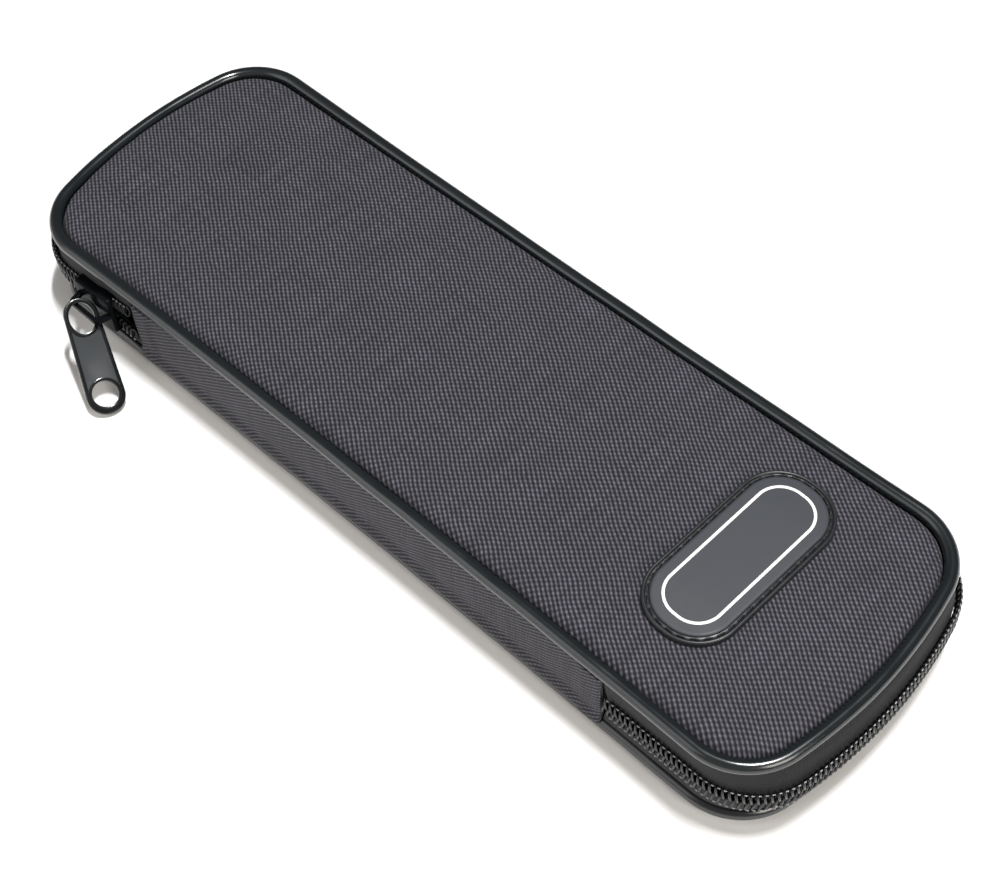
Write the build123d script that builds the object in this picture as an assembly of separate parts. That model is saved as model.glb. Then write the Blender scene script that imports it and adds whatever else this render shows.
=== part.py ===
"""Zippered soft carry case for a pocket otoscope.

Two padded panels, each with a piped edge, are joined along one long side by a fabric spine and along
the other three sides by a coil zipper whose tapes are the walls. Lengths are in millimetres, +Z is up,
+X runs along the case and -Y is the spine side. The origin is the middle of the face it rests on.
"""

import math
import os

from build123d import *

os.makedirs("parts", exist_ok=True)

# Outline of the piping's centre line, seen from above
CASE_LENGTH = 200.0  # between the corners, without the bow of the ends
CASE_WIDTH = 68.0
END_BOW = 5.5  # each short end swells outwards at its middle
SIDE_BOW = 0.8  # each long side draws inwards at its middle
CORNER_RADIUS = 14.0

# Heights
SEAM_SPAN = 19.8  # between the centre planes of the two pipings
COVER_RISE = 2.9  # outer face of a panel beyond its piping's centre plane

# Piping: a moulded vinyl cord with a sewing flange
PIPING_RADIUS = 1.5
PIPING_SIDES = 12  # flats round the bead
FLANGE_THICKNESS = 0.45
FLANGE_DEPTH = 4.0  # from the piping's centre plane
FLANGE_INSET = 0.35  # from the piping's centre line

# Panels: woven cover over foam, a stiffener board and a lining
COVER_GAP = 0.25  # between the cover's edge and the piping
COVER_THICKNESS = 0.7
COVER_SKIRT = 1.0  # the cover's turned-down edge, inside the piping's centre plane
SHOULDER = 1.3  # bevel where a panel rolls under at its seam
CROWN_ACROSS = 480.0  # radius of the lid's crown, across the case
CROWN_ALONG = 6000.0  # radius of the lid's crown, along the case
BOARD_THICKNESS = 0.8
BOARD_MARGIN = 0.3
LINING_THICKNESS = 0.5

# Binding tape that wraps the raw seam inside each half
BINDING_THICKNESS = 2.2
BINDING_WIDTH = 2.7
BINDING_BEVEL = 0.7

# Zipper
TAPE_THICKNESS = 0.6
TAPE_SEAM_GAP = 0.2  # between the tape's sewn edge and the piping
TAPE_EDGE = 0.9  # from the zipper's middle to the tape's free edge
END_BULGE = 2.0  # the closed chain stands further out round the ends
COIL_THICKNESS = 1.4
COIL_SEAT_GAP = 0.05  # between the coil and its tape
COIL_PITCH = 1.26
COIL_BEND = 3.1  # from the zipper's middle to the coil's outer bends
COIL_HEAD = 0.6  # how far the heads reach past the middle, between those of the other row
COIL_LEG_WIDTH = 0.8  # at the outer bends, where the loops nearly touch
COIL_HEAD_WIDTH = 0.54

# Spine: the fabric hinge; its ends are measured from the case's corners
SPINE_LEFT_MARGIN = 31.0
SPINE_RIGHT_MARGIN = 33.0
SPINE_THICKNESS = 0.8
SPINE_OUTSET = 0.5  # outer face beyond the piping's centre line
SPINE_PAD_THICKNESS = 1.0
SPINE_LINING_THICKNESS = 0.4
SPINE_PAD_MARGIN = 0.4
RUNNING_GAP = 0.3  # between pieces that move against each other

# Slider, in its own frame: x towards its nose, y up, z outwards from the zipper's face
SLIDER_LENGTH = 12.5
SLIDER_SETBACK = 5.5  # from its nose to the spine
SLIDER_TRAVEL = 3.0
NOSE_HALF_HEIGHT = 5.4
THROAT_HALF_HEIGHT = 4.2
FLARE_START = -0.5
FLARE_END = 3.0
WING_THICKNESS = 1.0
WING_CORNER = 1.1
WING_BEVEL = 0.3
RIM_WIDTH = 0.75
SLOT_GAP = 0.25  # between the slider and what runs through it
POST_LENGTH = 4.4
POST_WIDTH = 2.4
POST_SETBACK = 0.5
BRIDGE_HEIGHT = 3.4  # from the outer wing to the bridge's outer face
BRIDGE_THICKNESS = 1.0
BRIDGE_WIDTH = 1.3
BRIDGE_FOOT = 5.6  # half its length at the wing, and at its shoulders
BRIDGE_SHOULDER = 4.7
BRIDGE_RADIUS = 1.2

# Pull tab, hooked on the bridge and leaning on the table
PULL_LENGTH = 26.8
PULL_THICKNESS = 1.0
PULL_EYE_END_RADIUS = 3.8
PULL_HOLE_END_RADIUS = 4.3
PULL_HOLE_RADIUS = 2.95
PULL_HOLE_INSET = 4.6
EYE_LENGTH = 7.2
EYE_WIDTH = 5.6
EYE_RIM = 1.0
PULL_BEVEL = 0.18
PULL_FIELD_DEPTH = 0.2
PULL_FIELD_RIM = 0.8  # raised all round the field
PULL_COLLAR = 0.65  # raised round the hole
EYE_ALONG = 0.5  # the eye's centre from the slider's middle, towards the nose
EYE_BELOW = 0.5  # the eye's centre below the slider's middle
EYE_OUT = 4.2  # the eye's centre beyond the outer wing's face
PULL_HEADING = 27.0  # degrees from +X towards -Y
PULL_ROLL = 8.0  # degrees about its own length, spine side up
PULL_TABLE_GAP = 0.4

# Badge: a moulded rubber patch sewn to the lid, set across the case
BADGE_END_MARGIN = 29.4  # from its middle to the case's right corner
BADGE_Y = 1.3
BADGE_TURN = -1.9
BADGE_LINE_LENGTH = 37.2
BADGE_LINE_WIDTH = 12.9
BADGE_LINE_CORNER = 5.9
BADGE_LINE_STROKE = 0.6
BADGE_LINE_HEIGHT = 0.15
BADGE_MARGIN = 3.9  # from the line to the patch's edge
BADGE_THICKNESS = 0.8  # at the bottom of the sewing groove
BADGE_RIM_WIDTH = 0.8
BADGE_RIM_HEIGHT = 0.5
BADGE_FIELD_MARGIN = 2.3  # from the line to the edge of the raised field
BADGE_FIELD_HEIGHT = 0.6

# Fittings inside: two elastic straps in the base, a pocket for ear tips in the lid
STRAP_WIDTH = 20.0
STRAP_THICKNESS = 0.9
HANDLE_STRAP_MARGIN = 62.0  # from its middle to the case's left corner
HEAD_STRAP_MARGIN = 54.0  # from its middle to the case's right corner
STRAP_SIDE_MARGIN = 5.0
POCKET_END_MARGIN = 22.0  # from its closed end to the case's left corner
POCKET_LENGTH = 88.0
POCKET_SIDE_MARGIN = 6.0
POCKET_THICKNESS = 0.6
POCKET_CORNER = 8.0
POCKET_HEM_WIDTH = 6.0
POCKET_HEM_THICKNESS = 0.9

# Places that follow from the sizes above
LEFT_CORNER = -CASE_LENGTH / 2
RIGHT_CORNER = CASE_LENGTH / 2
SPINE_START = LEFT_CORNER + SPINE_LEFT_MARGIN
SPINE_END = RIGHT_CORNER - SPINE_RIGHT_MARGIN
SLIDER_X = SPINE_START - SLIDER_SETBACK - SLIDER_LENGTH / 2
BADGE_X = RIGHT_CORNER - BADGE_END_MARGIN
POCKET_START = LEFT_CORNER + POCKET_END_MARGIN
STRAP_POSITIONS = {
    "handle_strap": LEFT_CORNER + HANDLE_STRAP_MARGIN,
    "head_strap": RIGHT_CORNER - HEAD_STRAP_MARGIN,
}
BASE_SEAM_Z = COVER_RISE
LID_SEAM_Z = BASE_SEAM_Z + SEAM_SPAN
ZIPPER_Z = BASE_SEAM_Z + SEAM_SPAN / 2
COVER_INSET = PIPING_RADIUS + COVER_GAP
LINING_FACE = COVER_SKIRT + LINING_THICKNESS  # inner face of a half, from its piping's plane
BINDING_INSET = FLANGE_INSET + FLANGE_THICKNESS
COIL_FACE = TAPE_THICKNESS / 2 + COIL_SEAT_GAP
WING_FACE = COIL_FACE + COIL_THICKNESS + SLOT_GAP


def outline(inset=0.0, bulge=0.0):
    """The case's outline, inset from the piping's centre line; bulge moves just the ends out."""
    x = CASE_LENGTH / 2 - inset + bulge
    y = CASE_WIDTH / 2 - inset
    front = ThreePointArc((-x, -y), (0, -y + SIDE_BOW), (x, -y))
    right = ThreePointArc((x, -y), (x + END_BOW, 0), (x, y))
    back = ThreePointArc((x, y), (0, y - SIDE_BOW), (-x, y))
    left = ThreePointArc((-x, y), (-x - END_BOW, 0), (-x, -y))
    face = make_face(front + right + back + left)
    return fillet(face.vertices(), CORNER_RADIUS - inset)


def front_y(x):
    """Y of the piping's centre line at x on the spine side."""
    half = CASE_LENGTH / 2
    radius = (half**2 + SIDE_BOW**2) / (2 * SIDE_BOW)
    return -CASE_WIDTH / 2 + SIDE_BOW - (radius - math.sqrt(radius**2 - x**2))


def band(outer_inset, inner_inset, low, high):
    """An upright ring between two insets of the outline."""
    ring = outline(outer_inset) - outline(inner_inset)
    return Pos(0, 0, low) * extrude(ring, high - low)


def slab(inset, low, high):
    """A flat layer with the case's outline."""
    return Pos(0, 0, low) * extrude(outline(inset), high - low)


def crown_block(top):
    """A block whose upper face is the lid's double-curved crown, with its highest point at top."""
    side_plane = Plane(origin=(0, 0, 0), x_dir=(0, 1, 0), z_dir=(1, 0, 0))
    depth = COVER_RISE * 4
    strip = Rectangle(CASE_WIDTH * 1.5, depth)
    section = Pos(0, top - CROWN_ACROSS) * Circle(CROWN_ACROSS) & Pos(0, top - depth / 2) * strip
    axis = Axis((0, 0, top - CROWN_ALONG), (0, 1, 0))
    half_angle = math.degrees(CASE_LENGTH * 0.6 / CROWN_ALONG)
    section = (side_plane * section).rotate(axis, -half_angle)
    return revolve(section, axis, 2 * half_angle)


def half_place(seam_z, facing):
    """Puts a piece built with its piping's plane at z = 0 and its outer face up into its half."""

    def place(piece):
        turned = piece if facing == "up" else mirror(piece, about=Plane.XY)
        return Pos(0, 0, seam_z) * turned

    return place


# Panels, each built with its piping's centre plane at z = 0 and its outer face up


def crowned_pad(inset, top, low, shoulder):
    """A lid layer with the crown on top and a bevelled shoulder."""
    pad = crown_block(top) & slab(inset, low, top + 1)
    rim = pad.edges().filter_by(lambda e: e.bounding_box().min.Z > low + 0.1)
    return chamfer(rim, shoulder)


def flat_pad(inset, top, low, shoulder):
    """A base layer, pressed flat by the table, with a bevelled shoulder."""
    pad = slab(inset, low, top)
    return chamfer(pad.faces().sort_by(Axis.Z)[-1].edges(), shoulder)


def panel_layers(pad):
    """Cover, foam, board and lining of one half; pad is the shape of its cover and foam."""
    foam_top = COVER_RISE - COVER_THICKNESS
    foam_shoulder = SHOULDER - COVER_THICKNESS / 2
    board_top = BOARD_THICKNESS - COVER_SKIRT
    filling = pad(COVER_INSET + COVER_THICKNESS, foam_top, -COVER_SKIRT, foam_shoulder)
    cover = pad(COVER_INSET, COVER_RISE, -COVER_SKIRT, SHOULDER) - filling
    foam = filling - slab(0, -COVER_SKIRT, board_top)
    board = slab(COVER_INSET + COVER_THICKNESS + BOARD_MARGIN, -COVER_SKIRT, board_top)
    lining = slab(PIPING_RADIUS, -LINING_FACE, -COVER_SKIRT)
    return {"cover": cover, "foam": foam, "board": board, "lining": lining}


def piping():
    """The vinyl piping: a round bead with its flange turned into the seam."""
    path = outline().wire()
    start = Plane(origin=path @ 0, x_dir=(path % 0).cross(Vector(0, 0, 1)), z_dir=path % 0)
    inwards = -1 if start.x_dir.dot(path @ 0) > 0 else 1
    upwards = 1 if start.y_dir.Z > 0 else -1
    bead = RegularPolygon(PIPING_RADIUS, PIPING_SIDES)
    flange_x = inwards * (FLANGE_INSET + FLANGE_THICKNESS / 2)
    flange = Pos(flange_x, -upwards * FLANGE_DEPTH / 2) * Rectangle(FLANGE_THICKNESS, FLANGE_DEPTH)
    return sweep(start * (bead + flange), path=path)


def seam_binding():
    """The bias tape wrapped round the seam inside."""
    low = -LINING_FACE - BINDING_WIDTH
    ring = band(BINDING_INSET, BINDING_INSET + BINDING_THICKNESS, low, -LINING_FACE)
    lower_edges = ring.edges().filter_by(lambda e: e.bounding_box().max.Z < low + 0.1)
    return chamfer(lower_edges, BINDING_BEVEL)


# Zipper


def zip_wall():
    """One zipper tape as the wall of its half, from the piping to its free edge, all the way round."""
    seam_edge = -PIPING_RADIUS - TAPE_SEAM_GAP
    free_edge = -SEAM_SPAN / 2 + TAPE_EDGE

    def block(inset):
        upper = Pos(0, 0, seam_edge) * outline(inset)
        lower = Pos(0, 0, free_edge) * outline(inset, END_BULGE)
        return loft([upper, lower], ruled=True)

    return block(-TAPE_THICKNESS / 2) - block(TAPE_THICKNESS / 2)


def spine_opening():
    """What the spine and its running gaps take out of a wall."""
    length = SPINE_END - SPINE_START + 2 * RUNNING_GAP
    centre = (SPINE_START + SPINE_END) / 2
    return Pos(centre, -CASE_WIDTH / 2, 0) * Box(length, 8, 2 * SEAM_SPAN)


def coil_element():
    """One loop of the coil as a tapered bar: x along the zipper, z towards its own tape."""
    bend, head = COIL_LEG_WIDTH / 2, COIL_HEAD_WIDTH / 2
    corners = [(-bend, COIL_BEND), (bend, COIL_BEND), (head, -COIL_HEAD), (-head, -COIL_HEAD)]
    profile = Plane.XZ * Polyline(*corners, close=True)
    return extrude(make_face(profile), COIL_THICKNESS / 2, both=True)


def coil_row(upper):
    """The coil's loops, set along the wall between the slider's throat and the spine's far end."""
    path = outline(-COIL_FACE - COIL_THICKNESS / 2, END_BULGE).wire()
    count = round(path.length / COIL_PITCH)
    throat = SLIDER_X - SLIDER_LENGTH / 2 - RUNNING_GAP
    element = coil_element() if upper else Rot(180, 0, 0) * coil_element()
    loops = []
    for i in range(count):
        t = (i + (0 if upper else 0.5)) / count
        spot = path @ t
        if spot.Y < -CASE_WIDTH / 4 and throat - COIL_PITCH / 2 < spot.X < SPINE_END + COIL_PITCH:
            continue
        seat = Plane(origin=(spot.X, spot.Y, ZIPPER_Z), x_dir=path % t, z_dir=(0, 0, 1))
        loops.append(seat.location * element)
    return Compound(children=loops)


# Slider and pull


def slider_plane():
    """The slider's own frame."""
    return Plane(origin=(SLIDER_X, front_y(SLIDER_X), ZIPPER_Z), x_dir=(1, 0, 0), z_dir=(0, -1, 0))


def wing(margin=0.0):
    """The slider seen from outside: narrow at its throat, wide at its nose."""
    tail, nose = -SLIDER_LENGTH / 2 - margin, SLIDER_LENGTH / 2 + margin
    low, high = THROAT_HALF_HEIGHT + margin, NOSE_HALF_HEIGHT + margin
    upper = [(tail, low), (FLARE_START, low), (FLARE_END, high), (nose, high)]
    lower = [(x, -y) for x, y in reversed(upper)]
    face = make_face(Polyline(*upper, *lower, close=True))
    return fillet(face.vertices(), WING_CORNER)


def channel():
    """The way through the slider for the coils, open at both ends."""
    narrow = THROAT_HALF_HEIGHT - RIM_WIDTH
    wide = NOSE_HALF_HEIGHT - RIM_WIDTH
    end = SLIDER_LENGTH
    upper = [(-end, narrow), (FLARE_START, narrow), (FLARE_END, wide), (end, wide)]
    lower = [(x, -y) for x, y in reversed(upper)]
    return make_face(Polyline(*upper, *lower, close=True))


def bridge():
    """The bridge over the outer wing that the pull hooks on."""
    wing_top = WING_FACE + WING_THICKNESS
    root = wing_top - WING_THICKNESS / 4
    roof = wing_top + BRIDGE_HEIGHT

    def arch(shrink):
        foot, shoulder = BRIDGE_FOOT - shrink, BRIDGE_SHOULDER - shrink
        left = [(-foot, root), (-shoulder, roof - shrink)]
        right = [(-x, y) for x, y in reversed(left)]
        face = make_face(Polyline(*left, *right, close=True))
        top = face.vertices().group_by(Axis.Y)[-1]
        return fillet(top, BRIDGE_RADIUS - shrink * 0.5)

    profile = Plane.XZ * (arch(0) - arch(BRIDGE_THICKNESS))
    return extrude(profile, BRIDGE_WIDTH / 2, both=True)


def slider():
    """The cast slider: two wings joined by the post that parts the coils, with its bridge."""
    inner_face = -TAPE_THICKNESS / 2 - SLOT_GAP
    slot_top = TAPE_THICKNESS / 2 + SLOT_GAP
    outer = Pos(0, 0, slot_top) * extrude(wing(), WING_FACE + WING_THICKNESS - slot_top)
    outer = chamfer(outer.faces().sort_by(Axis.Z)[-1].edges(), WING_BEVEL)
    outer -= Pos(0, 0, slot_top) * extrude(channel(), WING_FACE - slot_top)
    inner = Pos(0, 0, inner_face - WING_THICKNESS) * extrude(wing(), WING_THICKNESS)
    inner = chamfer(inner.faces().sort_by(Axis.Z)[0].edges(), WING_BEVEL)
    front = SLIDER_LENGTH / 2 - POST_SETBACK
    back = front - POST_LENGTH
    wide = front - POST_LENGTH / 3
    half = POST_WIDTH / 2
    upper = [(back, 0), (wide, half), (front, half / 2)]
    lower = [(front, -half / 2), (wide, -half)]
    kite = make_face(Polyline(*upper, *lower, close=True))
    post = Pos(0, 0, inner_face) * extrude(kite, WING_FACE - inner_face)
    return slider_plane().location * (outer + inner + post + bridge())


def pull_plane():
    """Frame of the pull's mid-plane: origin in its eye, x towards its hole, z out of its upper face."""
    wing_top = WING_FACE + WING_THICKNESS
    eye = slider_plane().from_local_coords(Vector(EYE_ALONG, -EYE_BELOW, wing_top + EYE_OUT))
    reach = PULL_LENGTH - EYE_RIM - EYE_LENGTH / 2
    drop = math.asin((eye.Z - PULL_THICKNESS / 2 - PULL_TABLE_GAP) / reach)
    heading = math.radians(PULL_HEADING)
    level = math.cos(drop)
    along = Vector(level * math.cos(heading), -level * math.sin(heading), -math.sin(drop))
    level_across = Vector(math.sin(heading), math.cos(heading), 0)
    roll = math.radians(PULL_ROLL)
    normal = along.cross(level_across) * math.cos(roll) + level_across * math.sin(roll)
    return Plane(origin=eye, x_dir=along, z_dir=normal)


def pull():
    """The pull tab: an eye at one end, a hole at the other and a sunk field on each face."""
    eye_end = -EYE_RIM - EYE_LENGTH / 2
    hole_end = eye_end + PULL_LENGTH
    hole_x = hole_end - PULL_HOLE_INSET
    top = Pos(eye_end + PULL_EYE_END_RADIUS, 0) * Circle(PULL_EYE_END_RADIUS)
    bottom = Pos(hole_end - PULL_HOLE_END_RADIUS, 0) * Circle(PULL_HOLE_END_RADIUS)
    tongue = make_hull(top.edges() + bottom.edges())
    plate = tongue - Ellipse(EYE_LENGTH / 2, EYE_WIDTH / 2)
    plate -= Pos(hole_x, 0) * Circle(PULL_HOLE_RADIUS)
    body = extrude(plate, PULL_THICKNESS / 2, both=True)
    faces = body.faces().sort_by(Axis.Z)
    body = chamfer(faces[0].outer_wire().edges() + faces[-1].outer_wire().edges(), PULL_BEVEL)
    hole_side = Pos(PULL_LENGTH / 2, 0) * Rectangle(PULL_LENGTH, PULL_LENGTH)
    field = offset(tongue, -PULL_FIELD_RIM) & hole_side
    field -= Ellipse(EYE_LENGTH / 2 + PULL_FIELD_RIM, EYE_WIDTH / 2 + PULL_FIELD_RIM)
    field -= Pos(hole_x, 0) * Circle(PULL_HOLE_RADIUS + PULL_COLLAR)
    field = field.faces().sort_by(SortBy.AREA)[-1]
    sunk = extrude(field, PULL_FIELD_DEPTH)
    body -= Pos(0, 0, PULL_THICKNESS / 2 - PULL_FIELD_DEPTH) * sunk
    body -= Pos(0, 0, -PULL_THICKNESS / 2) * sunk
    return pull_plane().location * body


# Badge


def badge_shape(margin):
    """The badge's rounded outline, margin beyond its printed line."""
    length, width = BADGE_LINE_LENGTH + 2 * margin, BADGE_LINE_WIDTH + 2 * margin
    patch = RectangleRounded(width, length, BADGE_LINE_CORNER + margin)
    return Pos(BADGE_X, BADGE_Y) * Rot(0, 0, BADGE_TURN) * patch


def on_crown(shape, low, high):
    """A layer of that outline lying on the lid's crown, between two heights above the cover."""
    prism = extrude(shape, COVER_RISE * 4)
    return (crown_block(COVER_RISE + high) - crown_block(COVER_RISE + low)) & prism


def badge_patch():
    """The moulded patch: a raised rim and a raised field, with the sewing groove between them."""
    plate = on_crown(badge_shape(BADGE_MARGIN), 0, BADGE_THICKNESS)
    rim_shape = badge_shape(BADGE_MARGIN) - badge_shape(BADGE_MARGIN - BADGE_RIM_WIDTH)
    rim = on_crown(rim_shape, BADGE_THICKNESS / 2, BADGE_THICKNESS + BADGE_RIM_HEIGHT)
    field_shape = badge_shape(BADGE_FIELD_MARGIN)
    field = on_crown(field_shape, BADGE_THICKNESS / 2, BADGE_THICKNESS + BADGE_FIELD_HEIGHT)
    return plate + rim + field


def badge_line():
    """The plain printed line round the badge's field."""
    ring = badge_shape(0) - badge_shape(-BADGE_LINE_STROKE)
    field_top = BADGE_THICKNESS + BADGE_FIELD_HEIGHT
    return on_crown(ring, field_top, field_top + BADGE_LINE_HEIGHT)


# Spine


def spine_layer(outer, thickness, low_gap):
    """A flat layer of the spine; outer is its outer face beyond the piping's centre line."""
    length = SPINE_END - SPINE_START
    centre = (SPINE_START + SPINE_END) / 2
    height = SEAM_SPAN - 2 * low_gap
    block = Box(length, 4 * SIDE_BOW + thickness + 6, height)
    shell = slab(-outer, 0, height) - slab(thickness - outer, 0, height)
    clipped = shell & Pos(centre, -CASE_WIDTH / 2, height / 2) * block
    return Pos(0, 0, BASE_SEAM_Z + low_gap) * clipped


# Inside fittings, built like the panels


def strap(x):
    """An elastic strap lying across a lining, sewn down at both ends."""
    length = CASE_WIDTH - 2 * (BINDING_INSET + BINDING_THICKNESS + STRAP_SIDE_MARGIN)
    return Pos(x, 0, -LINING_FACE - STRAP_THICKNESS / 2) * Box(STRAP_WIDTH, length, STRAP_THICKNESS)


def pocket_width():
    return CASE_WIDTH - 2 * (BINDING_INSET + BINDING_THICKNESS + POCKET_SIDE_MARGIN)


def pocket():
    """The flat pocket for ear tips, with rounded corners at its closed end."""
    face = Rectangle(POCKET_LENGTH, pocket_width())
    face = fillet(face.vertices().group_by(Axis.X)[0], POCKET_CORNER)
    panel = extrude(face, POCKET_THICKNESS)
    return Pos(POCKET_START + POCKET_LENGTH / 2, 0, -LINING_FACE - POCKET_THICKNESS) * panel


def pocket_hem():
    """The elastic hem along the pocket's mouth."""
    x = POCKET_START + POCKET_LENGTH + POCKET_HEM_WIDTH / 2
    return Pos(x, 0, -LINING_FACE - POCKET_HEM_THICKNESS / 2) * Box(
        POCKET_HEM_WIDTH, pocket_width(), POCKET_HEM_THICKNESS
    )


def build():
    """Every node of the case, by name."""
    lid = half_place(LID_SEAM_Z, "up")
    base = half_place(BASE_SEAM_Z, "down")
    nodes = {}
    for half, place, pad in (("lid", lid, crowned_pad), ("base", base, flat_pad)):
        for layer, piece in panel_layers(pad).items():
            nodes[f"{half}_{layer}"] = place(piece)
        nodes[f"{half}_piping"] = place(piping())
        nodes[f"{half}_seam_binding"] = place(seam_binding())
        nodes[f"{half}_zip_tape"] = place(zip_wall() - spine_opening())
        nodes[f"{half}_coil"] = coil_row(upper=half == "lid")
    around_slider = slider_plane().location * extrude(wing(RUNNING_GAP), 4, both=True)
    nodes["lid_zip_tape"] -= around_slider
    post_room = POST_WIDTH / 2 + RUNNING_GAP
    post_zone = SPINE_START - (SLIDER_X - SLIDER_TRAVEL)
    nodes["base_zip_tape"] -= Pos(SPINE_START - post_zone / 2, -CASE_WIDTH / 2, ZIPPER_Z) * Box(
        post_zone, 8, 2 * post_room
    )
    for name, x in STRAP_POSITIONS.items():
        nodes[name] = base(strap(x))
    nodes["specula_pocket"] = lid(pocket())
    nodes["pocket_hem"] = lid(pocket_hem())
    nodes["badge_patch"] = lid(badge_patch())
    nodes["badge_line"] = lid(badge_line())
    inner = SPINE_OUTSET - SPINE_THICKNESS
    pad_gap = LINING_FACE + BINDING_WIDTH + SPINE_PAD_MARGIN
    nodes["spine_panel"] = spine_layer(SPINE_OUTSET, SPINE_THICKNESS, PIPING_RADIUS + RUNNING_GAP)
    nodes["spine_pad"] = spine_layer(inner, SPINE_PAD_THICKNESS, pad_gap)
    nodes["spine_lining"] = spine_layer(inner - SPINE_PAD_THICKNESS, SPINE_LINING_THICKNESS, pad_gap)
    nodes["zip_slider"] = slider()
    nodes["pull_tab"] = pull()
    return nodes


for node, solid in build().items():
    export_step(solid, f"parts/{node}.step")
    print(f"{node}: {solid.volume:.1f} mm3")
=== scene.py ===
# %% [markdown]
# # Dressing a zippered soft case
# The construction of the case is already settled: its pieces, their sizes and their joints come in as a
# fixed frame. Here it gets its looks. The hard pieces could be modelled again too, but a copy of a solid
# keeps it true, so only the soft ones are made anew, as cloth, vinyl or foam. Everything is in metres
# and in the frame's own coordinates.

# %% Load the frame
import math

import bmesh
import bpy
from mathutils import Matrix, Vector, noise


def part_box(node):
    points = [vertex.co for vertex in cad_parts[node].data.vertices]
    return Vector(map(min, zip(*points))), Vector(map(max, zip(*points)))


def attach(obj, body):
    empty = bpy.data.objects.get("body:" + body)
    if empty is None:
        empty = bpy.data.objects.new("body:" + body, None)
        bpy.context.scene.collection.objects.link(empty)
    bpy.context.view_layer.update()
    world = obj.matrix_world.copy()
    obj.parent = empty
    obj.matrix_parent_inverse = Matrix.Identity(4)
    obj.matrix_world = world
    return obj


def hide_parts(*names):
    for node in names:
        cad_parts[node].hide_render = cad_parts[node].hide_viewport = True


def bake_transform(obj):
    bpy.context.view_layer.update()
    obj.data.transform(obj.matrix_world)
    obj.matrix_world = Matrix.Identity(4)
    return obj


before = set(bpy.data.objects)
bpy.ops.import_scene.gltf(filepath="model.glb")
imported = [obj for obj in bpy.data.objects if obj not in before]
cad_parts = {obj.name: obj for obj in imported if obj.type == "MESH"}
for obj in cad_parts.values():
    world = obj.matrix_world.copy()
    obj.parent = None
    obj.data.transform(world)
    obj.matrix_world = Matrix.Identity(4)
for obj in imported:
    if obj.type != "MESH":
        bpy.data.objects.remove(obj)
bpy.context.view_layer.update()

MM = 0.001
print("nodes in the frame:", len(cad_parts))

# %% [markdown]
# ## Sizes
# On the real case every piece is sewn to the piping or lies inside it, so the piping's outline drives
# all the rest. The sizes could all be typed in, but reading the case's length and the heights of its
# two seams from the frame keeps them right when the frame changes. The base panel lies on the table,
# so the height of its seam is also how far a panel rises beyond its seam.

# %% Driving sizes
PIPING_RADIUS = 1.5 * MM
END_BOW = 5.5 * MM
SIDE_BOW = 0.8 * MM
CORNER_RADIUS = 14.0 * MM
HALF_WIDTH = 34.0 * MM
HALF_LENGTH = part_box("lid_piping")[1][0] - PIPING_RADIUS - END_BOW
LID_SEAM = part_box("lid_piping")[1][2] - PIPING_RADIUS
BASE_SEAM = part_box("base_piping")[0][2] + PIPING_RADIUS
MIDDLE = (LID_SEAM + BASE_SEAM) / 2
PANEL_RISE = BASE_SEAM
CROWN_ACROSS = 480 * MM
CROWN_ALONG = 6000 * MM
SPINE_START, SPINE_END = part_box("spine_panel")[0][0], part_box("spine_panel")[1][0]
print(f"case outline {2000 * (HALF_LENGTH + END_BOW):.1f} x {2000 * HALF_WIDTH:.1f} mm")

# %% [markdown]
# ## The outline
# Two long sides draw in a little, two short ends swell out, and four round corners join them. A drawn
# curve could follow this by eye. Here six numbers give it all as arcs, so it stays smooth and even. It
# is built once as a dense line with its outward normals, and is then sampled at any distance, so that
# any piece can follow it in or out along the normals.


# %% Build the outline
def circle_crossing(centre_a, radius_a, centre_b, radius_b):
    """The crossing of two circles that lies nearer the front right corner."""
    between = centre_b - centre_a
    gap = between.length
    along = (gap**2 + radius_a**2 - radius_b**2) / (2 * gap)
    aside = math.sqrt(radius_a**2 - along**2)
    unit = between / gap
    normal = Vector((-unit.y, unit.x))
    corner = Vector((HALF_LENGTH, -HALF_WIDTH))
    found = [centre_a + unit * along + normal * aside * side for side in (1, -1)]
    return min(found, key=lambda p: (p - corner).length)


def arc(centre, radius, start, end, facing, count=240):
    """Points of an arc with outward normals; facing is -1 where the curve bulges inwards."""
    spots = []
    for i in range(count):
        angle = start + (end - start) * i / count
        direction = Vector((math.cos(angle), math.sin(angle)))
        spots.append((centre + direction * radius, direction * facing))
    return spots


def bearing(vector):
    return math.atan2(vector.y, vector.x)


def dense_outline():
    """One dense loop, counter-clockwise from the middle of the spine side."""
    side_radius = (HALF_LENGTH**2 + SIDE_BOW**2) / (2 * SIDE_BOW)
    end_radius = (HALF_WIDTH**2 + END_BOW**2) / (2 * END_BOW)
    side_centre = Vector((0, -HALF_WIDTH + SIDE_BOW - side_radius))
    end_centre = Vector((HALF_LENGTH + END_BOW - end_radius, 0))
    corner = circle_crossing(
        side_centre, side_radius + CORNER_RADIUS, end_centre, end_radius - CORNER_RADIUS
    )
    side_end = bearing(corner - side_centre)
    end_start = bearing(corner - end_centre)
    quarter = arc(side_centre, side_radius, math.pi / 2, side_end, -1)
    quarter += arc(corner, CORNER_RADIUS, bearing(side_centre - corner), end_start, 1)
    quarter += arc(end_centre, end_radius, end_start, 0, 1)
    right = quarter + [(p * Vector((1, -1)), n * Vector((1, -1))) for p, n in reversed(quarter[1:])]
    left = [(p * Vector((-1, 1)), n * Vector((-1, 1))) for p, n in reversed(right[1:])]
    return right + left


DENSE = dense_outline()
DENSE_LENGTH = [0.0]
for (a, _), (b, _) in zip(DENSE, DENSE[1:] + DENSE[:1]):
    DENSE_LENGTH.append(DENSE_LENGTH[-1] + (b - a).length)
OUTLINE_LENGTH = DENSE_LENGTH[-1]


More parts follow.
